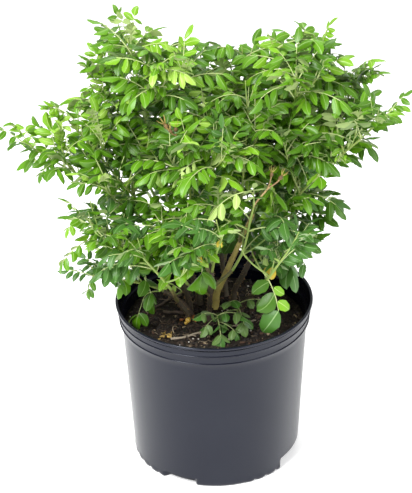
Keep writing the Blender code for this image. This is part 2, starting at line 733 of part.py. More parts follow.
def fuse_mass(name, plan, group, section):
    """Joins the shoots, rachises and leaflets of a mass into one solid."""
    parts = new_collection(f"{name}_parts")
    leader, *side = plan["shoots"]
    stem = tube("stem", [(leader, BOUGH_TIP_RADIUS, SHOOT_TIP_RADIUS)], parts, "rose_leaf", section)
    body = add_object(f"mass_{name}", evaluated_mesh(stem), group, "rose_leaf")
    bpy.data.objects.remove(stem)
    runs = [(s, SHOOT_RADIUS, SHOOT_TIP_RADIUS) for s in side]
    runs_leaf = [(r, RACHIS_RADIUS, RACHIS_RADIUS * RACHIS_TAPER) for r in plan["rachises"]]
    for label, these in (("twigs", runs), ("rachises", runs_leaf)):
        if these:
            pipe = tube(label, these, parts, "rose_leaf", section)
            add_object(label + "_solid", evaluated_mesh(pipe), parts, "rose_leaf")
            bpy.data.objects.remove(pipe)
    mesh = bpy.data.meshes.new("leaflets")
    points = [p for leaflet in plan["leaves"] for p in leaflet]
    mesh.from_pydata(points, [], leaflet_polygons(len(plan["leaves"])))
    add_object("leaflets", mesh, parts, "rose_leaf")
    union = body.modifiers.new("union", "BOOLEAN")
    union.operation = "UNION"
    union.solver = "EXACT"
    union.operand_type = "COLLECTION"
    union.collection = parts
    fused = evaluated_mesh(body)
    body.modifiers.clear()
    body.data = fused
    for obj in list(parts.objects):
        bpy.data.objects.remove(obj)
    bpy.data.collections.remove(parts)


def main():
    clear_scene()
    bush = new_collection("rose_bush")
    cutters = new_collection("cutters", hidden=True)
    pot = make_pot(bush, cutters)
    soil = make_soil(bush)
    limbs = plan_limbs()
    make_limbs(limbs, bush, cutters)
    make_dead_wood(bush)
    section = triangle_profile(cutters)
    solids = [o for o in bush.objects if o.name not in ("pot", "soil")]
    still = object_tree([pot, soil, *solids], grow=0.0008)
    counts = grow_masses(limbs, bush, section, still)
    print("leaves in each mass:", counts, sum(counts.values()))


main()
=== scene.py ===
import math
import random

import bpy
import numpy as np
from mathutils import Matrix, Vector, noise
from mathutils.geometry import interpolate_bezier


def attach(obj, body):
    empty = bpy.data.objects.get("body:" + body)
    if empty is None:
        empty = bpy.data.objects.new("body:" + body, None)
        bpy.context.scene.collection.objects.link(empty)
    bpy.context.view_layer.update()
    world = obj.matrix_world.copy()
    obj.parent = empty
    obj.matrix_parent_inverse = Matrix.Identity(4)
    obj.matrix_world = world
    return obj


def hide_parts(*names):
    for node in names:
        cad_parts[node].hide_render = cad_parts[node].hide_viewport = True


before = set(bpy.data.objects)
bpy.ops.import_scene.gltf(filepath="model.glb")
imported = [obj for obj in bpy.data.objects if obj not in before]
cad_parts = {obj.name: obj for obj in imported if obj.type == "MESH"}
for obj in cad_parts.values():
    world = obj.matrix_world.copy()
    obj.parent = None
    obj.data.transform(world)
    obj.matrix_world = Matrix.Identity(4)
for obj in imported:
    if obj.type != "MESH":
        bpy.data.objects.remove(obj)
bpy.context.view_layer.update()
up = Vector((0.0, 0.0, 1.0))


# mesh building

class MeshBag:  # gathers the points and faces of many small shapes into one mesh
    def __init__(self):
        self.points, self.quads, self.tris, self.quadSlots, self.triSlots = [], [], [], [], []
        self.size = 0

    def add(self, points, quads=None, tris=None, slot=0):
        points = np.asarray(points, dtype=float)
        if quads is not None and len(quads):
            self.quads.append(np.asarray(quads) + self.size)
            self.quadSlots.append(np.broadcast_to(slot, len(quads)))
        if tris is not None and len(tris):
            self.tris.append(np.asarray(tris) + self.size)
            self.triSlots.append(np.broadcast_to(slot, len(tris)))
        self.points.append(points)
        self.size += len(points)

    def makeMesh(self, name):
        faces = [f for block in self.quads + self.tris for f in block.tolist()]
        slots = self.quadSlots + self.triSlots
        mesh = bpy.data.meshes.new(name)
        mesh.from_pydata(np.concatenate(self.points).tolist(), [], faces)
        mesh.polygons.foreach_set("material_index", np.concatenate(slots).astype(np.int32))
        mesh.polygons.foreach_set("use_smooth", np.ones(len(faces), dtype=bool))
        mesh.update()
        return mesh


def makePiece(name, bag, finishes, stands=(), sharpAngle=None):
    mesh = bag.makeMesh(name)
    for finish in finishes:
        mesh.materials.append(finish)
    if sharpAngle:
        mesh.set_sharp_from_angle(angle=math.radians(sharpAngle))
    piece = bpy.data.objects.new(name, mesh)
    bpy.context.scene.collection.objects.link(piece)
    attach(piece, "root")
    if stands:
        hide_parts(*stands)


def ringQuads(rings, sides):
    i = np.arange(rings - 1)[:, None] * sides
    k = np.arange(sides)[None, :]
    j = (k + 1) % sides
    return np.stack([i + k, i + j, i + j + sides, i + k + sides], axis=-1).reshape(-1, 4)


def addTube(bag, path, radii, sides, slot=0, relief=None, caps=True):
    # a tube round a path, with its frames carried along so that it never twists
    path = [Vector(p) for p in path]
    count = len(path)
    ways = [(path[min(i + 1, count - 1)] - path[max(i - 1, 0)]).normalized() for i in range(count)]
    side = ways[0].orthogonal().normalized()
    angles = np.arange(sides) * 2 * math.pi / sides
    points, tris = [], None
    for i, (place, way) in enumerate(zip(path, ways)):
        side = (side - way * side.dot(way)).normalized()
        ring = np.cos(angles)[:, None] * np.array(side) + np.sin(angles)[:, None] * np.array(way.cross(side))
        radius = radii[i] * (relief(i, angles) if relief else np.ones(sides))
        points.append(np.array(place) + ring * radius[:, None])
    if caps:
        points.append(np.array([path[0], path[-1]]))
        first, low = count * sides, (count - 1) * sides
        tris = [(first, (k + 1) % sides, k) for k in range(sides)]
        tris += [(first + 1, low + k, low + (k + 1) % sides) for k in range(sides)]
    bag.add(np.concatenate(points), ringQuads(count, sides), tris, slot)


def lathe(profile, segments):
    # rings and single points round the Z axis, for a profile of (radius, height)
    angles = np.arange(segments) * 2 * math.pi / segments
    points, starts, quads, tris = [], [0], [], []
    for radius, height in profile:
        ring = angles if radius > 1e-6 else angles[:1]
        points += [(radius * math.cos(a), radius * math.sin(a), height) for a in ring]
        starts.append(len(points))
    for a, b, end in zip(starts, starts[1:], starts[2:]):
        for k in range(segments):
            j = (k + 1) % segments
            if b - a == 1:
                tris.append((a, b + j, b + k))
            elif end - b == 1:
                tris.append((a + k, a + j, b))
            else:
                quads.append((a + k, a + j, b + j, b + k))
    return np.array(points), quads, tris


def bentPath(start, heading, end, endHeading, steps):
    # the bend that limbs and shoots share: out along one heading, in along the other
    gap = (end - start).length
    first = start + heading.normalized() * gap * 0.36
    last = end - endHeading.normalized() * gap * 0.34
    return interpolate_bezier(start, first, last, end, steps + 1)


def softened(points, perSpan):
    # a smooth run through the points
    ends = [points[0] * 2 - points[1], *points, points[-1] * 2 - points[-2]]
    run = []
    for a, b, c, d in zip(ends, ends[1:], ends[2:], ends[3:]):
        for k in range(perSpan):
            t = k / perSpan
            run.append(0.5 * (2 * b + (c - a) * t + (2 * a - 5 * b + 4 * c - d) * t * t
                              + (3 * b - a - 3 * c + d) * t ** 3))
    return run + [points[-1]]


def pointAlong(path, share):
    place = min(share, 0.9999) * (len(path) - 1)
    low = int(place)
    return path[low].lerp(path[low + 1], place - low), (path[low + 1] - path[low]).normalized()


def pathLength(path):
    return sum((b - a).length for a, b in zip(path, path[1:]))


def taper(thick, thin, count):
    return [thick + (thin - thick) * i / (count - 1) for i in range(count)]


def squareTo(along, turn):
    # a heading square to a path's, turned round it
    return Matrix.Rotation(turn, 3, along) @ along.orthogonal().normalized()


# finishes

def makeToneGroup():
    # two noises: broad patches that lighten or darken a colour, and a fine grain for roughness and relief
    group = bpy.data.node_groups.new("toneAndGrain", "ShaderNodeTree")
    grey = (0.5, 0.5, 0.5, 1)
    for label, kind, value in (("Color", "Color", grey), ("Second Color", "Color", grey),
                               ("Patch Scale", "Float", 40), ("Patch Share", "Float", 0.5),
                               ("Grain Scale", "Float", 600), ("Grain Height", "Float", 0.0002),
                               ("Roughness", "Float", 0.5), ("Roughness Spread", "Float", 0.1)):
        socket = group.interface.new_socket(label, in_out="INPUT", socket_type=f"NodeSocket{kind}")
        socket.default_value = value
    for label, kind in (("Color", "Color"), ("Roughness", "Float"), ("Normal", "Vector")):
        group.interface.new_socket(label, in_out="OUTPUT", socket_type=f"NodeSocket{kind}")
    nodes = {"given": group.nodes.new("NodeGroupInput"), "out": group.nodes.new("NodeGroupOutput")}
    kinds = {"place": "TexCoord", "patches": "TexNoise", "grain": "TexNoise", "reach": "MapRange",
             "share": "Math", "mix": "Mix", "centred": "Math", "rough": "Math", "bump": "Bump"}
    for name, kind in kinds.items():
        nodes[name] = group.nodes.new(f"ShaderNode{kind}")
    nodes["mix"].data_type = "RGBA"
    for name, operation in (("share", "MULTIPLY"), ("centred", "SUBTRACT"), ("rough", "MULTIPLY_ADD")):
        nodes[name].operation = operation
    for name, socket, value in (("patches", "Detail", 3), ("grain", "Detail", 4), ("reach", "From Min", 0.35),
                                ("reach", "From Max", 0.65), ("centred", 1, 0.5), ("bump", "Strength", 1)):
        nodes[name].inputs[socket].default_value = value
    for source, output, target, socket in (
            ("place", "Object", "patches", "Vector"), ("place", "Object", "grain", "Vector"),
            ("given", "Patch Scale", "patches", "Scale"), ("given", "Grain Scale", "grain", "Scale"),
            ("patches", "Fac", "reach", "Value"), ("reach", "Result", "share", 0),
            ("given", "Patch Share", "share", 1), ("share", 0, "mix", "Factor"),
            ("given", "Color", "mix", "A"), ("given", "Second Color", "mix", "B"),
            ("grain", "Fac", "centred", 0), ("centred", 0, "rough", 0),
            ("given", "Roughness Spread", "rough", 1), ("given", "Roughness", "rough", 2),
            ("given", "Grain Height", "bump", "Distance"), ("grain", "Fac", "bump", "Height"),
            ("mix", "Result", "out", "Color"), ("rough", 0, "out", "Roughness"),
            ("bump", "Normal", "out", "Normal")):
        group.links.new(nodes[source].outputs[output], nodes[target].inputs[socket])
    return group


toneGroup = makeToneGroup()


def makeFinish(name, color, second, roughness, patchScale=40.0, patchShare=0.6, grainScale=600.0,
               grainHeight=0.0002, roughSpread=0.1, specular=0.5, tint=(1.0, 1.0, 1.0), coat=0.0):
    # with no second colour the base colour is plain, and only roughness and relief vary
    finish = bpy.data.materials.new(name)
    finish.use_nodes = True
    finish.diffuse_color = (*color, 1)
    tree = finish.node_tree
    shader, tone = tree.nodes["Principled BSDF"], tree.nodes.new("ShaderNodeGroup")
    tone.node_tree = toneGroup
    for label, value in (("Color", (*color, 1)), ("Second Color", (*(second or color), 1)),
                         ("Patch Scale", patchScale), ("Patch Share", patchShare),
                         ("Grain Scale", grainScale), ("Grain Height", grainHeight),
                         ("Roughness", roughness), ("Roughness Spread", roughSpread)):
        tone.inputs[label].default_value = value
    for label, value in (("Base Color", (*color, 1)), ("Specular IOR Level", specular),
                         ("Specular Tint", (*tint, 1)), ("Coat Weight", coat)):
        shader.inputs[label].default_value = value
    for label in ("Roughness", "Normal"):
        tree.links.new(tone.outputs[label], shader.inputs[label])
    if second:
        tree.links.new(tone.outputs["Color"], shader.inputs["Base Color"])
    return finish


# the pot

pot = {
    "height": 0.241, "rim": 0.138, "band": 0.1342, "wallTop": 0.1304, "foot": 0.1178, "wall": 0.002,
    "lipFoot": 0.2375, "bandTop": 0.2345, "bandFoot": 0.225, "bandStep": 0.002, "shoulder": 0.1326,
    "shoulderFoot": 0.212, "bead": 0.0011, "segments": 360,
    # radius and height of the underside, then steps in radius and height from an edge
    "underside": ((0.0, 0.0016), (0.06, 0.0016), (0.094, 0.0014), (0.1, 0.0)),
    "footRound": ((-0.0042, 0.0), (-0.002, 0.0004), (-0.0007, 0.0016)),
    "lipUnder": ((-0.0009, -0.0004), (-0.0002, 0.0003), (0.0, 0.001)),
    "lipOver": ((0.0, -0.0012), (-0.0004, -0.0003), (-0.0012, 0.0), (-0.0026, 0.0), (-0.0034, -0.0004),
                (-0.0039, -0.0014)),
    "insideRing": ((0.0, 0.001), (-0.0006, 0.0003), (-0.0006, -0.0003), (-0.0002, -0.0012)),
    "insideRings": (0.2275, 0.2165), "insideFoot": 0.204, "floorTop": 0.003, "lowWall": 0.004,
    "outsideRows": (0.004, 0.006, 0.008, 0.01, 0.012, 0.014, 0.016, 0.018, 0.02, 0.024, 0.04),
    "insideRows": (0.04, 0.024, 0.02, 0.016, 0.012, 0.009, 0.006),
    # angle, width, height and depth of each drain notch
    "notches": ((-21, 36, 0.016, 0.0155), (-117, 23, 0.011, 0.0085), (158, 23, 0.011, 0.0085),
                (63, 30, 0.014, 0.012)),
    "scallops": 40, "scallopLift": 0.0034, "scallopOut": 0.0012, "scallopTop": 0.009, "calmFront": (-90, 17),
    "moulded": (0.098, 0.03), "color": (0.0026, 0.0034, 0.0102), "worn": (0.0068, 0.008, 0.0158),
    "roughness": 0.24,
}


def stepsFrom(radius, height, steps):
    return [(radius + out, height + rise) for out, rise in steps]


def beadRows(radius, height):
    # a half-round ring moulded on the outside
    turns = [math.pi * k / 6 for k in range(7)]
    return stepsFrom(radius, height, [(pot["bead"] * math.sin(a), -pot["bead"] * math.cos(a)) for a in turns])


def potProfile():
    rim, band, top, foot, wall = pot["rim"], pot["band"], pot["wallTop"], pot["foot"], pot["wall"]
    height, wallHigh, low = pot["height"], pot["bandFoot"] - pot["bandStep"], pot["lowWall"]
    bead, shoulder, shoulderFoot = pot["bead"], pot["shoulder"], pot["shoulderFoot"]
    inner = band - wall
    rows = [*pot["underside"], *stepsFrom(foot, 0.0, pot["footRound"])]
    rows += [(foot + (top - foot) * z / wallHigh, z) for z in pot["outsideRows"]]
    rows += [(foot + (top - foot) * k / 10, low + (wallHigh - low) * k / 10) for k in range(3, 10)]
    rows += stepsFrom(top, shoulderFoot, ((-0.0006, -0.002), (0.0004, -0.0006)))
    rows += beadRows(shoulder, shoulderFoot + bead)
    rows += stepsFrom(shoulder, wallHigh, ((0.0, -0.0004), (0.0005, 0.0008)))
    rows += beadRows(band, pot["bandFoot"] + bead * 0.6) + beadRows(band, pot["bandTop"] - bead * 0.4)
    rows += stepsFrom(rim, pot["lipFoot"], pot["lipUnder"]) + stepsFrom(rim, height, pot["lipOver"])
    rows.append((inner, pot["bandTop"] - pot["bandStep"]))
    for ring in pot["insideRings"]:
        rows += stepsFrom(inner, ring, pot["insideRing"])
        inner = top - wall
    rows += stepsFrom(inner, pot["insideFoot"], ((-0.0006, 0.0),))
    rows += [(foot - wall + (top - foot) * z / wallHigh, z) for z in pot["insideRows"]]
    return rows + [(radius, pot["floorTop"]) for radius in (foot - wall * 2, 0.096, 0.0)]


def ease(value):
    value = min(1.0, max(0.0, value))
    return value * value * (3 - 2 * value)


def apart(angle, other):
    return abs((angle - other + 180) % 360 - 180)


def mouldFoot(point):
    # notches step in under a roof, and between them the edge is cast in small uneven scallops
    x, y, z = point
    radius, angle = math.hypot(x, y), math.degrees(math.atan2(y, x))
    inward, inNotch = 0.0, 0.0
    for middle, width, height, depth in pot["notches"]:
        across = ease((width / 2 - apart(angle, middle)) / 3.0 + 0.5)
        inward = max(inward, depth * across * ease((height + 0.001 - z) / 0.002))
        inNotch = max(inNotch, across)
    front, calm = pot["calmFront"]
    rough = max(0.0, 1 - z / pot["scallopTop"]) * (1 - inNotch) * ease((apart(angle, front) - calm) / 8)
    wave = abs(math.sin(math.radians(angle) * pot["scallops"] / 2))
    uneven = 0.55 + 1.1 * noise.noise(Vector((x * 40, y * 40, 7.0)))
    lift = pot["scallopLift"] * rough * max(0.0, 1 - wave * 1.7) * max(0.2, uneven)
    share = ease((radius - pot["moulded"][0]) / 0.012)
    grown = 1 + (pot["scallopOut"] * rough * wave - inward) * share / radius
    return x * grown, y * grown, z + lift * share


def makePot():
    points, quads, tris = lathe(potProfile(), pot["segments"])
    fromRadius, toHeight = pot["moulded"]
    for i in np.nonzero((points[:, 2] < toHeight) & (np.hypot(points[:, 0], points[:, 1]) > fromRadius))[0]:
        points[i] = mouldFoot(points[i])
    bag = MeshBag()
    bag.add(points, quads, tris)
    plastic = makeFinish("potPlastic", pot["color"], pot["worn"], pot["roughness"], patchScale=14,
                         patchShare=0.55, grainScale=900, grainHeight=0.00005, roughSpread=0.16,
                         specular=0.4, tint=(0.86, 0.9, 1.0))
    makePiece("nurseryPot", bag, [plastic], ["pot"], sharpAngle=50)


print("pot")
makePot()


# the potting mix and what lies on it

soil = {
    "top": 0.205, "level": 0.075, "fall": 0.006, "radius": 0.1282, "footRadius": 0.095, "floor": 0.004,
    "rings": 70, "segments": 220, "lumps": ((55, 0.0022), (160, 0.0012), (420, 0.0006)), "deepest": 0.0022,
    "color": (0.0105, 0.0075, 0.0055), "second": (0.03, 0.019, 0.012),
}
litter = {
    "chips": 2600, "chipSize": (0.0016, 0.0095), "perlite": 20, "perliteSize": (0.0007, 0.0017),
    "perliteFront": ((-0.036, -0.06), (-0.03, -0.052)), "fibres": 130, "fibreRadius": 0.00028,
    "chipKinds": {  # share and colour
        "chipDark": (0.58, (0.013, 0.009, 0.007)), "chipBrown": (0.3, (0.032, 0.02, 0.013)),
        "chipRed": (0.07, (0.06, 0.03, 0.017)), "chipPale": (0.05, (0.2, 0.15, 0.09))},
    "paleRoot": ((-0.05, -0.022, 0.2035), (-0.054, -0.026, 0.2095), (-0.0575, -0.032, 0.2125),
                 (-0.058, -0.038, 0.211), (-0.0555, -0.043, 0.2065), (-0.052, -0.046, 0.2035)),
    "paleRootRadius": 0.00062,
    # middle, reach, sizes of the plump buds and number of dry scales
    "buds": ((-0.036, -0.006), 0.012, (0.0042, 0.0028, 0.0024, 0.002), 11),
    "scraps": ((-0.066, -0.046), 0.013, (0.002,), 9),
}


def soilHeight(x, y):
    radius = math.hypot(x, y)
    fall = soil["fall"] * max(0.0, (radius - soil["level"]) / (soil["radius"] - soil["level"]))
    rise = 0.0
    for k, (scale, height) in enumerate(soil["lumps"]):
        rise += height * noise.noise(Vector((x * scale, y * scale, 3.1 * k)))
    return soil["top"] - fall + max(rise, -soil["deepest"]) - 0.0004


def makeSoil():
    top, foot = soil["top"], soil["footRadius"]
    profile = [(soil["radius"] * k / soil["rings"], top) for k in range(soil["rings"] + 1)]
    profile += [(foot + 0.018, 0.03), (foot, 0.02), (foot, soil["floor"]), (0.0, soil["floor"])]
    points, quads, tris = lathe(profile, soil["segments"])
    for i in np.nonzero(points[:, 2] > top - 0.001)[0]:
        points[i, 2] = soilHeight(points[i, 0], points[i, 1])
    bag = MeshBag()
    bag.add(points, quads, tris)
    mix = makeFinish("mixSurface", soil["color"], soil["second"], 0.92, patchScale=160, patchShare=0.8,
                     grainScale=1500, grainHeight=0.0012, specular=0.3)
    makePiece("pottingMix", bag, [mix], ["soil"])


def brokenLump(rng, rough=0.16):
    corners = np.array([(x, y, z) for z in (-1, 1) for y in (-1, 1) for x in (-1, 1)], dtype=float) * 0.5
    corners[:, :2] *= 1 - 0.25 * (corners[:, 2:] > 0)
    corners += np.array([[rng.uniform(-rough, rough) for _ in range(3)] for _ in range(8)])
    return corners, [(0, 2, 3, 1), (4, 5, 7, 6), (0, 1, 5, 4), (2, 6, 7, 3), (0, 4, 6, 2), (1, 3, 7, 5)], None


def roundedGrain(rng, rough, rings=5, segments=7):
    turns = [math.pi * k / rings for k in range(rings + 1)]
    points, quads, tris = lathe([(math.sin(a), -math.cos(a)) for a in turns], segments)
    return points * (1 + np.array([rng.uniform(-rough, rough) for _ in points]))[:, None], quads, tris


def onSoil(rng, margin=0.004):
    radius = (soil["radius"] - margin) * math.sqrt(rng.random())
    angle = rng.uniform(0, 2 * math.pi)
    return radius * math.cos(angle), radius * math.sin(angle)


def setDown(bag, rng, shape, size, tilt, spot, lift, slot=0):
    # one small shape, turned and tilted at random, on the mix
    points, quads, tris = shape
    turn = (Matrix.Rotation(rng.uniform(0, 6.283), 3, "Z") @ Matrix.Rotation(rng.gauss(0, tilt), 3, "X")
            @ Matrix.Rotation(rng.gauss(0, tilt), 3, "Y"))
    bag.add(points * size @ np.array(turn).T + (*spot, soilHeight(*spot) + lift), quads, tris, slot)


def makeChips():
    rng, bag = random.Random(3), MeshBag()
    kinds = [brokenLump(rng) for _ in range(14)]
    shares = np.cumsum([share for share, _ in litter["chipKinds"].values()])
    low, high = litter["chipSize"]
    for _ in range(litter["chips"]):
        spot, kind = onSoil(rng), rng.choice(kinds)
        size = low + (high - low) * rng.random() ** 2.4
        stretch = np.array((1.0, rng.uniform(0.3, 0.62), rng.uniform(0.14, 0.34))) * size
        slot = int(np.searchsorted(shares, rng.random() * shares[-1]))
        setDown(bag, rng, kind, stretch, 0.35, spot, size * 0.1, slot)
    finishes = [makeFinish(name, color, tuple(c * 1.8 for c in color), 0.85, patchScale=300, grainScale=1800,
                           grainHeight=0.0004) for name, (_, color) in litter["chipKinds"].items()]
    makePiece("barkChips", bag, finishes)


def makePerlite():
    rng, bag = random.Random(5), MeshBag()
    kinds = [roundedGrain(rng, 0.22) for _ in range(6)]
    for spot in [onSoil(rng) for _ in range(litter["perlite"])] + list(litter["perliteFront"]):
        kind, size = rng.choice(kinds), rng.uniform(*litter["perliteSize"])
        setDown(bag, rng, kind, size, 1.0, spot, size * 0.5)
    white = makeFinish("perliteWhite", (0.66, 0.64, 0.58), (0.42, 0.38, 0.32), 0.8, patchScale=500)
    makePiece("perliteGrains", bag, [white])


def makeFibres():
    rng, bag = random.Random(8), MeshBag()
    for _ in range(litter["fibres"]):
        x, y = onSoil(rng, 0.012)
        turn, length = rng.uniform(0, 6.283), rng.uniform(0.006, 0.024)
        path = []
        for k in range(7):
            spot = x + math.cos(turn) * length * k / 6, y + math.sin(turn) * length * k / 6
            if math.hypot(*spot) > soil["radius"] - 0.003:
                break
            path.append((*spot, soilHeight(*spot) + 0.0008 + 0.0012 * math.sin(k) ** 2))
            turn += rng.gauss(0, 0.25)
        if len(path) > 2:
            addTube(bag, path, [litter["fibreRadius"]] * len(path), 4, slot=int(rng.random() < 0.3))
    run = softened([Vector(p) for p in litter["paleRoot"]], 5)
    addTube(bag, run, [litter["paleRootRadius"]] * len(run), 7, slot=1)
    fibre = makeFinish("fibreBrown", (0.075, 0.045, 0.026), (0.13, 0.085, 0.05), 0.85)
    pale = makeFinish("rootPale", (0.34, 0.27, 0.18), (0.22, 0.16, 0.1), 0.75)
    makePiece("rootFibres", bag, [fibre, pale])


def makeBuds():
    # plump ochre buds among brown scales at the foot of the canes, and dry scales to their left
    rng, bag = random.Random(12), MeshBag()
    kinds = [roundedGrain(rng, 0.05, 9, 14) for _ in range(5)]
    for name in ("buds", "scraps"):
        (x, y), reach, sizes, scales = litter[name]
        for k in range(len(sizes) + scales):
            turn, out = rng.uniform(0, 6.283), reach * math.sqrt(rng.random()) * (0.3 if k == 0 else 1.0)
            points, quads, tris = rng.choice(kinds)
            plump = k < len(sizes)
            size = sizes[k] if plump else rng.uniform(0.0022, 0.0036)
            points = points * ((1.35, 0.9, 0.9) if plump else (1.3, 0.62, 0.1))
            points[:, :2] *= (1 - 0.3 * np.maximum(points[:, :1], 0))  # pointed at one end
            if not plump:  # a cupped scale
                points[:, 2] += 0.45 * points[:, 0] ** 2 - 0.6 * points[:, 1] ** 2
            lift = size * (0.8 if plump else rng.uniform(0.3, 1.6))
            slot = 0 if plump else 2 if name == "scraps" or k % 3 == 0 else 1
            spot = x + math.cos(turn) * out, y + math.sin(turn) * out * 0.7
            setDown(bag, rng, (points, quads, tris), size, 0.5 if plump else 0.9, spot, lift, slot)
    gold = makeFinish("budOchre", (0.76, 0.5, 0.09), (0.56, 0.26, 0.035), 0.32, patchScale=160, coat=0.4)
    brown = makeFinish("scaleBrown", (0.33, 0.11, 0.03), (0.16, 0.06, 0.022), 0.55, patchScale=260)
    dry = makeFinish("scaleDry", (0.42, 0.29, 0.07), (0.23, 0.13, 0.04), 0.65, patchScale=260)
    makePiece("basalBuds", bag, [gold, brown, dry])


print("potting mix")
makeSoil()
makeChips()
makePerlite()
makeFibres()
makeBuds()


# limbs, at the sizes of the frame's own

mixTop = soil["top"] + 0.0003  # limbs and sticks stand just clear of the mix
canes = {  # foot on the mix, radius, where it enters its mass, the mass's reach and the seed of its growth
    "centre": ((0.001, 0.029), 0.005, (0.056, 0.03, 0.355), (0.163, 0.05, 0.636), 415),
    "left_top": ((-0.02, 0.04), 0.0042, (-0.056, 0.045, 0.345), (-0.117, 0.055, 0.65), 209),
    "far_left": ((-0.034, 0.022), 0.0044, (-0.082, 0.008, 0.345), (-0.284, -0.01, 0.518), 208),
    "left_low": ((-0.036, 0.0), 0.0036, (-0.07, -0.022, 0.265), (-0.205, -0.045, 0.315), 302),
    "centre_top": ((-0.004, 0.056), 0.004, (-0.012, 0.08, 0.345), (-0.02, 0.1, 0.59), 107),
    "far_right": ((0.026, 0.034), 0.0044, (0.09, 0.005, 0.36), (0.259, -0.03, 0.56), 310),
    "right_low": ((0.036, 0.01), 0.0036, (0.068, -0.016, 0.27), (0.132, -0.08, 0.385), 110),
    "back": ((0.017, 0.062), 0.0038, (0.006, 0.105, 0.32), (0.0, 0.225, 0.475), 401),
    "front": ((-0.007, -0.003), 0.0038, (-0.002, -0.05, 0.31), (0.015, -0.19, 0.455), 302),
}
boughs = {  # cane, share of it below, where it enters its mass, the mass's reach and the seed of its growth
    "left_peak": ("left_top", 0.85, (-0.08, 0.068, 0.365), (-0.16, 0.075, 0.59), 413),
    "left_high": ("left_top", 0.7, (-0.084, 0.022, 0.36), (-0.214, 0.01, 0.545), 104),
    "left_mid": ("far_left", 0.5, (-0.092, -0.034, 0.315), (-0.2, -0.07, 0.435), 402),
    "right_inner": ("centre", 0.7, (0.038, -0.004, 0.37), (0.052, -0.025, 0.585), 101),
    "top_right": ("centre", 0.85, (0.064, 0.066, 0.37), (0.098, 0.1, 0.59), 310),
    "right_high": ("far_right", 0.8, (0.11, 0.036, 0.365), (0.218, 0.05, 0.575), 112),
    "right_mid": ("far_right", 0.45, (0.086, 0.048, 0.3), (0.165, 0.085, 0.4), 108),
    "front_left": ("left_low", 0.55, (-0.058, -0.07, 0.295), (-0.112, -0.16, 0.425), 204),
    "front_right": ("right_low", 0.6, (0.068, -0.066, 0.3), (0.108, -0.175, 0.43), 315),
    "front_top": ("front", 0.8, (-0.022, -0.04, 0.355), (-0.035, -0.08, 0.56), 104),
    "inner_left": ("front", 0.45, (-0.036, -0.04, 0.285), (-0.076, -0.105, 0.455), 208),
    "inner_right": ("front", 0.58, (0.026, -0.038, 0.305), (0.062, -0.115, 0.475), 310),
    "back_left": ("left_top", 0.5, (-0.074, 0.098, 0.32), (-0.17, 0.18, 0.475), 405),
    "back_right": ("back", 0.55, (0.068, 0.104, 0.32), (0.168, 0.182, 0.48), 300),
    "back_low": ("back", 0.35, (0.03, 0.128, 0.275), (0.05, 0.215, 0.325), 407),
}
bark = {
    "tipRadius": 0.0026, "boughFoot": 0.0026, "boughTip": 0.0021, "sides": 18, "perSpan": 9,
    "nodeGap": 0.024, "nodeSwell": 0.16, "nodeHalf": 0.09, "flare": 0.22, "flareFade": 14,
    "ridges": 7, "ridgeDepth": 0.045, "roughness": 0.05, "mainCane": "centre", "bristleGap": 0.00085,
    "boughGap": 2.6, "bristleLength": (0.0012, 0.0034),
}


def planLimbs():
    # the same bends as the frame's limbs, with their reach
    limbs = {}
    for name, (foot, radius, entry, reach, seed) in canes.items():
        start = Vector((*foot, mixTop))
        rise = (Vector(entry) - start).normalized() + up * 0.8
        limbs[name] = limbPlan(start, rise, entry, reach, radius, bark["tipRadius"], 6, seed)
        path = limbs[name]["path"]
        path[1].xy = path[0].xy.lerp(path[1].xy, 0.6)
    for name, (parent, share, entry, reach, seed) in boughs.items():
        start, along = pointAlong(limbs[parent]["path"], share)
        leave = (Vector(entry) - start).normalized() + along * 0.25
        limbs[name] = limbPlan(start, leave, entry, reach, bark["boughFoot"], bark["boughTip"], 4, seed, True)
    return limbs


def limbPlan(start, leave, entry, reach, foot, tip, steps, seed, isBough=False):
    entry, reach = Vector(entry), Vector(reach)
    heading = ((entry - start).normalized() + (reach - entry).normalized()).normalized()
    path = bentPath(start, leave, entry, heading, steps)
    return {"path": path, "foot": foot, "tip": tip, "heading": heading, "reach": reach, "seed": seed,
            "bough": isBough}


def barkRelief(seed, swells):
    # lengthwise ridges, a slight lumpiness and a swelling at each node
    def relief(i, angles):
        ridge = 1 + bark["ridgeDepth"] * np.cos(angles * bark["ridges"] + i * 0.06 + seed)
        lumps = [noise.noise(Vector((math.cos(a) * 2, math.sin(a) * 2, i * 0.21 + seed))) for a in angles]
        return ridge * (1 + bark["roughness"] * np.array(lumps)) * swells[i]
    return relief


def addBristles(bag, path, radii, rng, gap, slot, lengths):
    # slim spines all round a limb, tilted a little down
    for _ in range(int(pathLength(path) / gap)):
        share = rng.uniform(0.04, 0.98)
        place, along = pointAlong(path, share)
        outward = squareTo(along, rng.uniform(0, 6.283))
        radius = radii[min(int(share * (len(radii) - 1)), len(radii) - 1)]
        root, length = place + outward * radius * 0.9, rng.uniform(*lengths)
        tip = root + (outward - along * rng.uniform(0.0, 0.35)).normalized() * (length + radius * 0.1)
        across, wide = along.cross(outward) * length * 0.11, along * length * 0.11
        bag.add([root + wide * 1.6, root + across - wide, root - across - wide, tip],
                tris=[(0, 1, 3), (1, 2, 3), (2, 0, 3)], slot=slot)


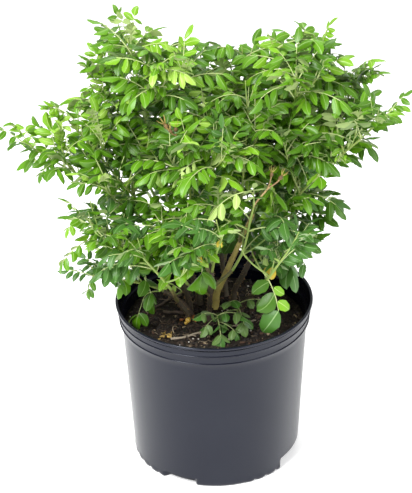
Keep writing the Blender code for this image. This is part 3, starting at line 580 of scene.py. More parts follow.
def makeLimbs(limbs, finishes):
    for number, (name, limb) in enumerate(limbs.items()):
        rng, bag = random.Random(50 + number), MeshBag()
        isBough, path = limb["bough"], softened(limb["path"], bark["perSpan"])
        total, swells, radii = pathLength(path), [], []
        for i in range(len(path)):
            share = i / (len(path) - 1)
            fromNode = abs((share * total / bark["nodeGap"]) % 1 - 0.5)
            swells.append(1 + bark["nodeSwell"] * max(0.0, 1 - fromNode / bark["nodeHalf"]))
            flare = 1 + bark["flare"] * math.exp(-share * bark["flareFade"]) * (not isBough)
            radii.append((limb["foot"] + (limb["tip"] - limb["foot"]) * share) * flare)
        addTube(bag, path, radii, bark["sides"], 0, barkRelief(number * 1.7, swells))
        gap = bark["bristleGap"] * (bark["boughGap"] if isBough else 1.0)
        addBristles(bag, path, radii, rng, gap, 1, bark["bristleLength"])
        # the main cane's bark is painted lighter as painted light, and the other canes' bark darker as
        # painted shade
        skin = finishes["green" if isBough else "main" if name == bark["mainCane"] else "cane"]
        slot, stand = ("green_bough", "bough") if isBough else ("cane_bark", "cane")
        makePiece(f"bark_{name}", bag, [skin, finishes["bristle"]], [f"{stand}_{name}"], sharpAngle=60)


woody = {"patchShare": 0.75, "patchScale": 70, "grainScale": 900, "grainHeight": 0.0005}
dry = {"patchShare": 0.8, "patchScale": 130, "grainScale": 1100, "grainHeight": 0.0012, "specular": 0.3}
dryPale = {"patchScale": 150, "grainScale": 1100, "grainHeight": 0.001, "specular": 0.3}
green = {"patchScale": 60, "grainScale": 900, "grainHeight": 0.0003}
limbFinishes = {
    # the main cane's colour is its own tan raised as painted light; the other canes' colour is darkened as
    # painted shade
    "main": makeFinish("mainCaneBarkPaintedLit", (0.76, 0.64, 0.19), (0.5, 0.36, 0.11), 0.6, **woody),
    "cane": makeFinish("caneBarkPaintedShade", (0.105, 0.09, 0.058), (0.082, 0.056, 0.044), 0.66, **woody),
    "green": makeFinish("youngBark", (0.15, 0.17, 0.045), (0.15, 0.095, 0.04), 0.55, **green),
    "bristle": makeFinish("bristleStraw", (0.42, 0.3, 0.13), (0.3, 0.14, 0.07), 0.6),
    "twig": makeFinish("twigGreen", (0.23, 0.37, 0.075), (0.33, 0.36, 0.09), 0.5, 90, grainScale=900),
    "rachis": makeFinish("rachisPale", (0.46, 0.57, 0.21), (0.54, 0.6, 0.28), 0.5, patchScale=120),
    "dead": makeFinish("deadBark", (0.19, 0.145, 0.115), (0.09, 0.062, 0.05), 0.9, **dry),
    "deadPale": makeFinish("deadPale", (0.4, 0.34, 0.26), (0.23, 0.18, 0.13), 0.88, **dryPale),
}


print("canes and boughs")
limbs = planLimbs()
mainCane = softened(limbs[bark["mainCane"]]["path"], 3)
makeLimbs(limbs, limbFinishes)


# dead wood on the mix

deadWood = {  # both ends on the mix, thick and thin radius, and its finish
    "stick_left": ((-0.046, 0.064), (-0.088, 0.029), 0.0018, 0.0014, "dead"),
    "stick_short": ((-0.042, 0.012), (-0.072, 0.018), 0.0021, 0.0018, "dead"),
    "stick_front": ((-0.061, -0.055), (-0.008, -0.037), 0.0018, 0.0012, "deadPale"),
    "stick_pale": ((0.02, -0.025), (0.058, -0.009), 0.0013, 0.0009, "deadPale"),
    "stick_stub": ((0.015, -0.063), (0.038, -0.039), 0.0017, 0.0013, "deadPale"),
}
deadCane = {
    "foot": (-0.03, 0.009), "top": (-0.084, 0.018, 0.252), "fork": (-0.02, 0.018, 0.004), "thick": 0.0034,
    "thin": 0.0024,
}


def addDeadStick(bag, run, thick, thin, seed):
    path = softened(run, 8)

    def relief(i, angles):
        spots = [Vector((math.cos(a) * 1.6, math.sin(a) * 1.6, i * 0.16 + seed)) for a in angles]
        knot = 1 + 0.2 * max(0.0, 1 - abs((i * 0.11 + seed) % 1 - 0.5) / 0.12)
        return (1 + 0.14 * np.array([noise.noise(spot) for spot in spots])) * knot

    addTube(bag, path, taper(thick, thin, len(path)), 14, 0, relief)


def makeDeadWood():
    for number, (name, (a, b, thick, thin, finish)) in enumerate(deadWood.items()):
        start, end = Vector((*a, mixTop + thick)), Vector((*b, mixTop + thick))
        side, bag = (end - start).cross(up) * 0.05, MeshBag()
        run = [start, start.lerp(end, 0.35) + side, start.lerp(end, 0.7) - side * 0.4, end]
        addDeadStick(bag, run, thick, thin, number * 3.3)
        if number in (0, 2):  # a short broken fork
            root = start.lerp(end, 0.45)
            fork = root + (side.normalized() + (end - start).normalized()) * 0.009 + up * 0.002
            middle = root.lerp(fork, 0.5) + up * 0.0006
            addDeadStick(bag, [root, middle, fork], thin * 0.8, thin * 0.5, number)
        makePiece(f"deadTwig_{name}", bag, [limbFinishes[finish]], [name])
    start, end, bag = Vector((*deadCane["foot"], mixTop)), Vector(deadCane["top"]), MeshBag()
    run = bentPath(start, end - start + up * 0.1, end, end - start, 3)
    fork = run[2] + Vector(deadCane["fork"])
    addDeadStick(bag, run, deadCane["thick"], deadCane["thin"], 5.0)
    addDeadStick(bag, [run[2], run[2].lerp(fork, 0.5) + up * 0.001, fork], 0.0017, 0.001, 2.0)
    makePiece("oldCane", bag, [limbFinishes["dead"]], ["dead_cane"])


print("dead wood")
makeDeadWood()


# leaflets: folded blades with toothed edges, a rib strip and hollows between their veins

leaflet = {
    "width": 0.44, "stations": (0.0, 0.06, 0.2, 0.38, 0.56, 0.74, 0.9, 1.0),
    "belly": 1.32, "round": 0.6, "point": 0.88,
    "teeth": 0.02, "fold": (-0.35, 0.4), "youngFold": 0.95, "droop": (0.1, 0.52), "curl": (1.3, 3.0),
    "veinDepth": 0.015, "thickness": 0.022, "rib": 0.016, "kinds": 16, "youngKinds": 4,
}


def leafletKind(rng, folded):
    # one blade of unit length along +X, face up: points, faces and their slots (0 top, 1 under, 2 rib)
    fold = leaflet["youngFold"] * rng.uniform(0.8, 1.3) if folded else rng.uniform(*leaflet["fold"])
    droop = rng.uniform(*leaflet["droop"])
    curl = 0.5 if folded else rng.uniform(*leaflet["curl"])
    bow, skew = rng.uniform(-0.17, 0.17), rng.uniform(-0.12, 0.12)
    rows, unders = [], []
    for i, t in enumerate(leaflet["stations"]):
        half = leaflet["belly"] * leaflet["width"] * t ** leaflet["round"] * (1 - t) ** leaflet["point"]
        tooth = leaflet["teeth"] * (i % 2) if 0.1 < t < 0.98 else 0.0
        vein = leaflet["veinDepth"] * (1 if i % 2 else -1) if 0.1 < t < 0.9 else 0.0
        rib = min(leaflet["rib"] * (1 - 0.6 * t), half * 0.6)
        middle = np.array((t - droop * 0.35 * t ** 3, bow * t * (1 - t) * 2, -droop * t ** 2.2))
        row, under = [], []
        for across, lift in ((-1, 0.0), (-0.52, vein), (0, 0.0), (0.52, vein), (1, 0.0)):
            reach = across * (half + (tooth if abs(across) == 1 else 0.0)) * (1 + skew * across)
            rise = abs(reach) * fold - curl * reach * reach + lift * half * 4
            lean = 0.018 * abs(across) * (1 if 0 < t < 1 else 0)  # the veins run forward
            spot = middle + np.array((lean, reach, rise))
            if across == 0:
                row += [middle + np.array((0, -rib, rib * fold)), middle + np.array((0, rib, rib * fold))]
                under.append(spot - np.array((0, 0, leaflet["thickness"])))
            else:
                row.append(spot)
                if abs(across) == 1:
                    under.append(spot - np.array((0, 0, 0.002)))
        rows.append(row)
        unders.append(under)
    top = np.array(rows).reshape(-1, 3)
    low = np.array(unders).reshape(-1, 3)
    quads, slots = [], []
    for i in range(len(rows) - 1):
        for k in range(5):
            a = i * 6 + k
            quads.append((a, a + 6, a + 7, a + 1))
            slots.append(2 if k == 2 else 0)
        for k in range(2):
            a = len(top) + i * 3 + k
            quads.append((a, a + 1, a + 4, a + 3))
            slots.append(1)
    return np.concatenate([top, low]), np.array(quads), np.array(slots)


kindRng = random.Random(21)
openKinds = [leafletKind(kindRng, False) for _ in range(leaflet["kinds"])]
foldedKinds = [leafletKind(kindRng, True) for _ in range(leaflet["youngKinds"])]


def addLeaflet(bag, root, heading, normal, length, kind, wide=1.0):
    side = normal.cross(heading).normalized()
    face = heading.cross(side).normalized()
    turn = np.array((heading, side, face))
    points, quads, slots = kind
    bag.add(points * (length, length * wide, length) @ turn + np.array(root), quads, slot=slots)


# leaves: a pale arching rachis with pairs of leaflets and one at its end

leaf = {
    "length": 0.09, "leaderSizes": (0.52, 0.6, 0.66, 0.73, 0.8, 0.88, 0.94, 1.0),
    "sizes": (0.48, 0.64, 0.8, 0.92, 1.0), "pairs": (2, 2, 3, 3, 3), "nine": 0.4,
    "arch": 0.9, "petiole": 0.22, "lastPair": 0.84, "leafletShare": 0.31, "spread": 62, "twist": 30,
    "rachisRadius": 0.0008, "steps": 6, "hang": 0.26, "faceUp": 0.8, "strayTone": 0.22, "crowded": 0.5,
}
tones = {  # top, under and rib colours and gloss of each lot of leaves, lightest first; the lots also serve as lit and shaded copies of the leaf colour (painted light and shade), and the under colours are the undersides' own paler green raised as painted light where light shines through
    "bright": ((0.29, 0.5, 0.06), (0.5, 0.62, 0.24), (0.5, 0.64, 0.22), 0.38),
    "fresh": ((0.165, 0.365, 0.012), (0.43, 0.55, 0.2), (0.38, 0.52, 0.14), 0.36),
    "green": ((0.102, 0.265, 0.007), (0.36, 0.48, 0.17), (0.27, 0.42, 0.1), 0.34),
    "middle": ((0.072, 0.195, 0.005), (0.3, 0.41, 0.14), (0.2, 0.34, 0.08), 0.33),
    "deep": ((0.048, 0.138, 0.005), (0.23, 0.33, 0.12), (0.15, 0.27, 0.06), 0.33),
    "cool": ((0.054, 0.155, 0.02), (0.24, 0.35, 0.16), (0.2, 0.33, 0.12), 0.38),
    "sprout": ((0.105, 0.19, 0.045), (0.25, 0.35, 0.15), (0.2, 0.31, 0.11), 0.5),
    "pale": ((0.36, 0.5, 0.13), (0.42, 0.54, 0.2), (0.52, 0.63, 0.26), 0.5),
    "old": ((0.62, 0.47, 0.045), (0.56, 0.48, 0.15), (0.62, 0.56, 0.22), 0.46),
}
leafBags = {(tone, hand): MeshBag() for tone in tones for hand in ("left", "right")}
twigBag, rachisBag, stipuleBag = MeshBag(), MeshBag(), MeshBag()
leafCount = [0, 0]


def bagFor(tone, place):
    return leafBags[tone, "left" if place.x < 0.0 else "right"]


def nearTone(tone, draw):
    # now and then a leaflet is a step lighter or darker than its leaf
    order = list(tones)
    step = -1 if draw < leaf["strayTone"] * 0.4 else 1 if draw < leaf["strayTone"] else 0
    return order[min(max(order.index(tone) + step, 0), 4)] if tone in order[:5] else tone


def addLeaf(root, heading, length, arch, roll, pairs, tone, rng, folded=False, lots=(), large=1.0, wide=1.0):
    span = length * (1 - leaf["leafletShare"])
    path, way = [root.copy()], heading.normalized()
    for _ in range(leaf["steps"]):
        path.append(path[-1] + way * span / leaf["steps"])
        way = (way - up * arch / leaf["steps"]).normalized()
    flat = heading.cross(up)
    flat = flat.normalized() if flat.length > 0.2 else heading.orthogonal().normalized()
    flat = Matrix.Rotation(roll, 3, heading.normalized()) @ flat
    radii = [leaf["rachisRadius"] * (1.25 - 0.6 * k / leaf["steps"]) * (length / leaf["length"]) ** 0.5
             for k in range(leaf["steps"] + 1)]
    addTube(rachisBag, path, radii, 5, caps=False)
    kinds = foldedKinds if folded else openKinds
    spread = math.radians(leaf["spread"]) * (0.55 if folded else 1.0)
    size = length * leaf["leafletShare"] * (1 + leaf["crowded"] * max(0.0, 1 - length / leaf["length"]))
    number = 0
    for pair in range(pairs):
        share = leaf["petiole"] + (leaf["lastPair"] - leaf["petiole"]) * (pair + 0.35) / (pairs - 0.65)
        base, way = pointAlong(path, share)
        big = size * (1.0 - 0.075 * (pairs - 1 - pair)) * rng.uniform(0.93, 1.05)
        for hand in (-1, 1):
            angle = spread * rng.uniform(0.88, 1.1)
            hang = up * leaf["hang"] * rng.uniform(0.2, 1.3)
            out = (way * math.cos(angle) + flat * hand * math.sin(angle) - hang).normalized()
            facing = (flat.cross(way) + up * leaf["faceUp"]).normalized()
            twist = math.radians(leaf["twist"]) * hand * rng.uniform(-0.4, 1.6)
            normal = Matrix.Rotation(twist, 3, out) @ facing
            bag = bagFor(lots[number % len(lots)] if lots else nearTone(tone, rng.random()), root)
            addLeaflet(bag, base + way * 0.001 * hand, out, normal, big * large, rng.choice(kinds), wide)
            number += 1
    way = (path[-1] - path[-2]).normalized()
    bag = bagFor(lots[number % len(lots)] if lots else tone, root)
    out, facing = (way - up * 0.15).normalized(), (flat.cross(way) + up * leaf["faceUp"] * 0.6).normalized()
    addLeaflet(bag, path[-1] - way * 0.001, out, facing, size * large, rng.choice(kinds), wide)
    ahead = (path[1] - path[0]).normalized() * length
    for hand in (-1, 1):  # the pair of stipules that wings the petiole's foot
        aside = flat * hand
        points = [path[0] + aside * 0.0004, path[0] + ahead * 0.085,
                  path[0] + ahead * 0.1 + aside * length * 0.035,
                  path[0] + ahead * 0.04 + aside * length * 0.022]
        stipuleBag.add([*points, *(p - up * 0.0003 for p in points)], [(0, 1, 2, 3), (7, 6, 5, 4)])
    leafCount[0] += 1
    leafCount[1] += pairs * 2 + 1


# growth: leaders and side shoots by the frame's rule, carried on to finer twigs

growth = {
    "turn": math.radians(144), "tipLeaf": 0.05, "tipCover": 0.85,
    "sideSpacing": 0.12, "sidePlaces": (0.22, 0.62, 0.85), "sideShare": 0.5, "forward": 0.75, "lift": 0.25,
    "bend": 0.7, "outwardMost": 0.3, "drop": 0.01, "backFall": 0.55, "lowSide": 0.25,
    "twigSpacing": 0.06, "twigLength": (0.03, 0.062), "twigSpread": 0.85,
    "leafGap": 0.0198, "tipGap": 0.33, "tuft": 9, "sideTuft": 4, "tuftForward": (1.15, 0.55),
    "steepest": 0.42,
    "leaderRadius": (0.0021, 0.001), "sideRadius": (0.0016, 0.0009), "twigRadius": (0.0011, 0.0007),
    "sproutRadius": (0.0013, 0.0008), "hangingRadius": (0.0014, 0.001), "singleRadius": (0.0011, 0.0008),
    "skirt": (0.25, 0.75), "heart": (0.03, 0.075, 0.085), "rightRise": (0.11, 0.6), "margin": 0.018,
    "lowReach": (0.42, 0.05), "leafHeading": (0.6, 0.25, 0.3), "openLeft": (-0.15, 2.1),
    "openBack": (0.15, 1.4),
    "caneView": math.radians(29), "caneClear": 0.019,
}


def raised(spread):
    return -spread if spread.z < -growth["lowSide"] else spread


def planLeader(limb):
    tip = limb["path"][-1]
    endHeading = (limb["reach"] - tip).normalized()
    end = limb["reach"] - endHeading * growth["tipLeaf"] * growth["tipCover"]
    return bentPath(tip, limb["heading"], end, endHeading, 4), endHeading


def sideShoots(leader, rng):
    length, shoots = pathLength(leader), []
    turn = rng.uniform(0, 2 * math.pi)
    for share in growth["sidePlaces"][:1 + int(length / growth["sideSpacing"])]:
        root, along = pointAlong(leader, share)
        turn += growth["turn"]
        outward = raised(squareTo(along, turn))
        radial = Vector((root.x, root.y, 0.0)).normalized()
        if outward.dot(radial) > growth["outwardMost"]:
            outward -= 2 * outward.dot(radial) * radial
        heading = (along * growth["forward"] + outward).normalized()
        rise = (heading + up * growth["lift"]).normalized()
        tip = root + rise * length * growth["sideShare"] * rng.uniform(0.85, 1.1)
        back = growth["backFall"] * max(tip.y - leader[-1].y, 0.0)
        tip.z = min(tip.z, leader[-1].z - growth["drop"] - back)
        shoots.append(bentPath(root, heading, tip, heading + up * growth["bend"], 8))
    return shoots


def fineTwigs(shoot, rng, spacing, lengths):
    # short twigs by turns along a shoot, longest at its middle
    twigs, total = [], pathLength(shoot)
    turn, gone = rng.uniform(0, 6.283), spacing * 0.6
    while gone < total * 0.93:
        root, along = pointAlong(shoot, gone / total)
        turn += growth["turn"]
        spread = raised(squareTo(along, turn))
        heading = (along + spread * growth["twigSpread"] + up * 0.15).normalized()
        length = rng.uniform(*lengths) * (0.65 + 0.5 * math.sin(math.pi * gone / total))
        tip = root + (heading + up * 0.22).normalized() * length
        twigs.append(bentPath(root, heading, tip, heading + up * 0.5, 5))
        gone += spacing * rng.uniform(0.85, 1.2)
    return twigs


def toneWithPaintedLight(place, number, rng):
    # young leaves at shoot tips are a lighter green of their own; on top of that comes painted light and
    # shade: leaves on the outside top get lighter tones, those low inside get darker tones, and the lightest
    # tones also stand in for highlights
    high = (place.z + 0.25 * place.y - 0.27) / 0.36
    outer = math.hypot(place.x, place.y * 1.2) / 0.26
    paintedShade = 1.3 * max(0.0, place.x) * max(0.0, 1.1 - high)  # painted shade: the right side, away from the key light, is darker low down
    light = 0.25 * high - paintedShade - 0.85 * max(0.0, 0.38 - high) + 0.05 * outer
    light += 0.08 * (number < 3) + 0.08 * (number == 0) + rng.gauss(0.2, 0.3)
    bluish = rng.random() < 0.9 - 1.3 * high
    for tone, least in (("bright", 0.94), ("fresh", 0.63), ("green", 0.36), ("middle", 0.17)):
        if light > least:
            return "cool" if tone == "middle" and bluish else tone
    return "cool" if bluish else "deep"


def hidesCane(point):
    # the bush stays open in front of its main cane
    lean = growth["caneView"]
    for place in mainCane:
        away = point - place
        rise = away.y * math.sin(lean) + away.z * math.cos(lean)
        if away.y < 0.0 and math.hypot(away.x, rise) < growth["caneClear"]:
            return True
    return False


def keepsWithin(points, limb, onward):
    low, slope = growth["skirt"]
    middle, half, rise = growth["heart"]  # the bush is bare low in its middle, where the canes show
    side, sideSlope = growth["rightRise"]
    tip = limb["reach"]
    ceiling = tip.z + (growth["lowReach"][1] if tip.z < growth["lowReach"][0] else growth["margin"])
    for p in points:
        floor = low - slope * min(p.y, 0.0) + rise * max(0.0, 1 - abs(p.x - middle) / half) * (p.y < 0.06)
        floor += sideSlope * max(0.0, p.x - side)
        back = growth["backFall"] * max(p.y - tip.y, 0.0)
        if (p - tip).dot(onward) > growth["margin"] or p.z + back > ceiling or p.z < floor:
            return False
        if hidesCane(p):
            return False
    return True


def leafyShoot(shoot, rng, limb, onward, gap, bare, isLeader):
    # leaves by turns from the tip down, youngest and smallest first
    total = pathLength(shoot)
    left, number, turn = total, 0, rng.uniform(0, 6.283)
    forward, outShare, lift = growth["leafHeading"]
    inner, outer = growth["tuftForward"]
    tuft, sizes = growth["tuft" if isLeader else "sideTuft"], leaf["leaderSizes" if isLeader else "sizes"]
    while left > total * bare:
        place, along = pointAlong(shoot, left / total)
        spread = raised(squareTo(along, turn))
        outward = Vector((place.x, place.y, 0.0)).normalized()
        inTuft, isTip = number < tuft, isLeader and number == 0
        if number == 0:
            heading, arch = along + spread * 0.2, leaf["arch"] * 0.35
        elif inTuft:
            heading = along * (inner + (outer - inner) * number / tuft) + spread + up * lift * 0.5
            arch = leaf["arch"] * 0.7
        else:
            heading, arch = along * forward + spread + outward * outShare + up * lift, leaf["arch"]
        heading.normalize()
        heading.z = min(heading.z, growth["steepest"] if number and not inTuft else 1.0)
        heading.normalize()
        length = leaf["length"] * sizes[min(number, len(sizes) - 1)] * rng.uniform(0.9, 1.1)
        if isTip:
            length = growth["tipLeaf"] * 0.95
        pairs = leaf["pairs"][min(number, len(leaf["pairs"]) - 1)] + (rng.random() < leaf["nine"])
        tip = place + (heading - up * arch * 0.4).normalized() * length
        if isTip or keepsWithin([tip, place.lerp(tip, 0.6), place.lerp(tip, 0.3)], limb, onward):
            addLeaf(place, heading, length, arch * rng.uniform(0.7, 1.35), rng.uniform(-0.6, 0.6), pairs,
                    toneWithPaintedLight(place, number, rng), rng, folded=number == 0 and not isLeader)
        left -= gap * (growth["tipGap"] if inTuft else 1.0) * rng.uniform(0.85, 1.15)
        number += 1
        turn += growth["turn"]


def addTwig(path, radii, sides, perSpan=1):
    run = softened(path, perSpan) if perSpan > 1 else path
    addTube(twigBag, run, taper(*radii, len(run)), sides)


def growMass(limb):
    rng = random.Random(limb["seed"])
    leader, onward = planLeader(limb)
    sides = sideShoots(leader, rng)
    (farLeft, thinLeft), (farBack, thinBack) = growth["openLeft"], growth["openBack"]
    gap = growth["leafGap"] * (thinLeft if limb["reach"].x < farLeft else 1.0)
    gap *= thinBack if limb["reach"].y > farBack else 1.0

    def grow(shoot, radii, ring, spacing, bare, twigBare):
        # one shoot and its fine twigs, with their leaves
        isLeader = shoot is leader
        addTwig(shoot, radii, ring, 5 if isLeader else 1)
        leafyShoot(softened(shoot, 4) if isLeader else shoot, rng, limb, onward, gap, bare, isLeader)
        for twig in fineTwigs(shoot, rng, spacing, growth["twigLength"]):
            addTwig(twig, growth["twigRadius"], 6)
            leafyShoot(twig, rng, limb, onward, gap, twigBare, False)

    grow(leader, growth["leaderRadius"], 9, growth["twigSpacing"], 0.06, 0.3)
    for shoot in sides:
        grow(shoot, growth["sideRadius"], 7, growth["twigSpacing"] * 1.3, 0.15, 0.35)


oldHips = {  # carrying limb, share along its leader, where its hips stand, how many, and their size
    "left": ("front_top", 0.96, (-0.052, -0.074, 0.533), 3, 0.0028),
    "middle": ("right_inner", 0.62, (0.034, -0.06, 0.488), 2, 0.003),
    "right": ("inner_right", 0.96, (0.081, -0.09, 0.469), 2, 0.0028),
}
hipStalk = {"truss": 0.0012, "single": 0.0009, "bristleGap": 0.0014, "bristleLength": (0.001, 0.0022)}


def addHip(bag, start, along, end, size, rng):
    run = bentPath(start, along, end, end - start + up * 0.02, 8)
    radii = [hipStalk["single"]] * len(run)
    addTube(bag, run, radii, 6, 1)
    addBristles(bag, run, radii, rng, hipStalk["bristleGap"], 1, hipStalk["bristleLength"])
    axis = (run[-1] - run[-2]).normalized()
    turn = axis.to_track_quat("Z", "Y").to_matrix()
    belly = [(math.sin(math.pi * k / 9) ** 0.8, -1.3 * math.cos(math.pi * k / 9)) for k in range(1, 8)]
    points, quads, tris = lathe([(0.0, -1.3), *belly, (0.3, 1.5), (0.0, 1.35)], 12)
    creased = [1 + 0.16 * math.sin(5 * math.atan2(q[1], q[0])) + rng.uniform(-0.06, 0.06) for q in points]
    points[:, :2] *= np.array(creased)[:, None]
    points[:, 2] += 1
    bag.add(points * size @ np.array(turn).T + np.array(end), quads, tris, 0)
    for k in range(5):  # dry sepals, long and curling
        angle = k * 1.2566 + rng.uniform(-0.3, 0.3)
        root = end + axis * size * 2.2
        way = turn @ Vector((math.cos(angle), math.sin(angle), rng.uniform(0.6, 1.8))).normalized()
        curl = [root + way * size * out + axis * size * rise
                for out, rise in ((0, 0), (1.4, 0), (2.6, 0.5), (3.3, 1.3))]
        addTube(bag, curl, [size * share for share in (0.24, 0.2, 0.13, 0.03)], 5, 2)


def makeOldHips(limbs):
    # last year's withered fruit, in small trusses on bristly stalks
    rng, bag = random.Random(41), MeshBag()
    for carrier, share, place, count, size in oldHips.values():
        leader, _ = planLeader(limbs[carrier])
        place, (start, along) = Vector(place), pointAlong(leader, share)
        fork = start.lerp(place, 0.6)
        stalk = bentPath(start, along, fork, place - start, 8)
        addTube(bag, stalk, [hipStalk["truss"]] * len(stalk), 7, 1)
        for k in range(count):
            aside = Vector((math.cos(k * 2.4), math.sin(k * 2.4) * 0.6, 0.5 * (k % 2))) * size * 2.2
            addHip(bag, fork, place - fork, place + aside, size * rng.uniform(0.8, 1.1), rng)
    hip = makeFinish("hipWithered", (0.21, 0.12, 0.04), (0.08, 0.045, 0.02), 0.6, 200, 0.8)
    sepal = makeFinish("sepalDry", (0.4, 0.34, 0.09), (0.33, 0.17, 0.045), 0.7, 300, 0.7)
    makePiece("witheredHips", bag, [hip, limbFinishes["bristle"], sepal])


def makeFoliage(masses):
    # each tone's finishes are in part lit and shaded copies of one leaf colour (painted light and shade)
    for tone, (top, under, rib, gloss) in tones.items():
        finishes = [
            makeFinish(f"leaf_{tone}", top, None, gloss, grainScale=1400, grainHeight=0.00016, specular=0.34),
            # the under colour is the underside's own paler green raised as painted light
            makeFinish(f"leafUnderWithPaintedLight_{tone}", under, None, 0.66, grainScale=1400, specular=0.3),
            makeFinish(f"leafRib_{tone}", rib, None, 0.5),
        ]
        for hand in ("left", "right"):
            if leafBags[tone, hand].size:
                makePiece(f"leaves_{tone}_{hand}", leafBags[tone, hand], finishes, masses)
    for name, bag, finish in (("greenTwigs", twigBag, "twig"), ("leafStalks", rachisBag, "rachis"),
                              ("stipules", stipuleBag, "twig")):
        makePiece(name, bag, [limbFinishes[finish]], masses)


print("leaves and twigs")
for limb in limbs.values():
    growMass(limb)


# young shoots from the mix, and the leaf that hangs from the middle cane

sprouts = {  # foot on the mix, top and tones; share, heading, length, arch and pairs of each leaf
    "middle": ((0.006, -0.032), (0.004, -0.036, 0.232), ("sprout", "cool", "sprout"), (
        (0.98, (-0.4, -0.3, 0.45), 0.045, 0.8, 2), (0.98, (0.6, -0.3, 0.5), 0.05, 0.8, 2),
        (0.75, (0.1, -0.9, 0.1), 0.054, 1.1, 2), (0.85, (-0.5, -0.6, 0.2), 0.042, 0.9, 1),
        (0.55, (0.7, -0.6, 0.2), 0.046, 0.9, 2))),
    "right": ((0.03, -0.012), (0.036, -0.016, 0.24), ("sprout", "sprout", "cool"), (
        (0.98, (-0.3, -0.5, 0.6), 0.048, 0.8, 2), (0.98, (0.7, -0.2, 0.5), 0.048, 0.8, 2),
        (0.7, (0.2, -0.9, 0.1), 0.05, 0.9, 2), (0.6, (-0.8, -0.2, 0.2), 0.04, 0.8, 1))),
}
hangingLeaf = {  # it hangs in front of the mix: its stalk, and each leaflet's root, tip, tone and breadth
    "stalk": ((0.061, -0.071, 0.328), (0.074, -0.079, 0.31), (0.082, -0.087, 0.291), (0.086, -0.095, 0.273)),
    "facing": (0.1, -0.8, 0.6),
    "leaflets": (
        ((0.073, -0.069, 0.324), (0.07, -0.061, 0.337), "pale", 1.2),
        ((0.077, -0.077, 0.311), (0.082, -0.061, 0.329), "old", 1.6),
        ((0.074, -0.079, 0.309), (0.049, -0.092, 0.298), "deep", 1.35),
        ((0.08, -0.082, 0.302), (0.097, -0.087, 0.293), "fresh", 1.4),
        ((0.081, -0.085, 0.295), (0.055, -0.102, 0.275), "deep", 1.4),
        ((0.085, -0.09, 0.285), (0.104, -0.097, 0.275), "fresh", 1.5),
        ((0.086, -0.095, 0.273), (0.061, -0.114, 0.245), "cool", 1.45)),
}


def growShoots(limbs):
    rng = random.Random(77)
    for foot, top, lots, leaves in sprouts.values():
        foot, top = Vector((*foot, mixTop)), Vector(top)
        path = bentPath(foot, up, top, top - foot, 6)
        addTwig(path, growth["sproutRadius"], 6)
        for share, heading, length, arch, pairs in leaves:
            place, _ = pointAlong(path, share)
            heading = Vector(heading).normalized()
            addLeaf(place, heading, length, arch, 0.0, pairs, lots[0], rng, lots=lots, wide=1.5)
    start, _ = pointAlong(limbs["centre"]["path"], 0.72)
    stalk = softened([Vector(point) for point in hangingLeaf["stalk"]], 4)
    hang = stalk[1] - stalk[0]
    addTwig(bentPath(start, hang + up * 0.01, stalk[0], hang, 5), growth["hangingRadius"], 6)
    addTube(rachisBag, stalk, [0.001 - 0.0004 * i / len(stalk) for i in range(len(stalk))], 5)
    facing = Vector(hangingLeaf["facing"]).normalized()
    for root, tip, tone, wide in hangingLeaf["leaflets"]:
        root, tip = Vector(root), Vector(tip)
        kind, reach = rng.choice(openKinds), tip - root
        addLeaflet(bagFor(tone, root), root, reach.normalized(), facing, reach.length, kind, wide)


# carrying limb, share along it (over 1 is along its leader), root and tip, arch, pairs, tone, leaflets' size
lowLeaves = {
    "leftDroop": ("left_low", 0.97, (-0.097, -0.02, 0.253), (-0.109, -0.032, 0.218), 0.4, 1, "middle", 1.5),
    "leftDark": ("left_mid", 0.97, (-0.1, -0.032, 0.306), (-0.08, -0.052, 0.255), 0.5, 2, "deep", 1.3),
    "leftRim": ("left_mid", 0.98, (-0.107, -0.03, 0.316), (-0.133, -0.05, 0.276), 0.7, 2, "middle", 1.2),
    "leftPale": ("front", 0.99, (-0.004, -0.06, 0.345), (-0.078, -0.092, 0.312), 0.7, 3, "fresh", 1.1),
    "leftYoung": ("left_low", 0.7, (-0.046, -0.032, 0.272), (-0.074, -0.042, 0.298), 0.2, 2, "bright", 0.9),
    "heart": ("front_top", 0.97, (-0.012, -0.074, 0.362), (-0.018, -0.096, 0.31), 0.5, 1, "middle", 1.6),
    "rightDark": ("far_right", 0.93, (0.079, -0.015, 0.338), (0.114, -0.048, 0.284), 0.7, 3, "cool", 1.35),
    "rightBack": ("back_right", 0.75, (0.066, 0.06, 0.318), (0.108, 0.04, 0.268), 0.7, 3, "deep", 1.2),
    "leftBack": ("left_low", 0.9, (-0.075, 0.02, 0.3), (-0.112, 0.03, 0.256), 0.7, 3, "middle", 1.1),
    # these leaves behind the canes take the deep tone as painted shade
    "behindRight": ("centre", 0.95, (0.072, 0.05, 0.374), (0.068, 0.03, 0.326), 0.6, 3, "deep", 1.5),
    "behindLeft": ("centre_top", 0.98, (0.024, 0.09, 0.346), (0.038, 0.075, 0.284), 0.6, 3, "deep", 1.9),
    "behindCane": ("back_right", 0.6, (0.06, 0.09, 0.33), (0.041, 0.075, 0.282), 0.6, 3, "deep", 1.6),
    "middleBack": ("centre_top", 0.75, (-0.022, 0.05, 0.31), (-0.04, 0.018, 0.268), 0.6, 2, "deep", 1.3),
}

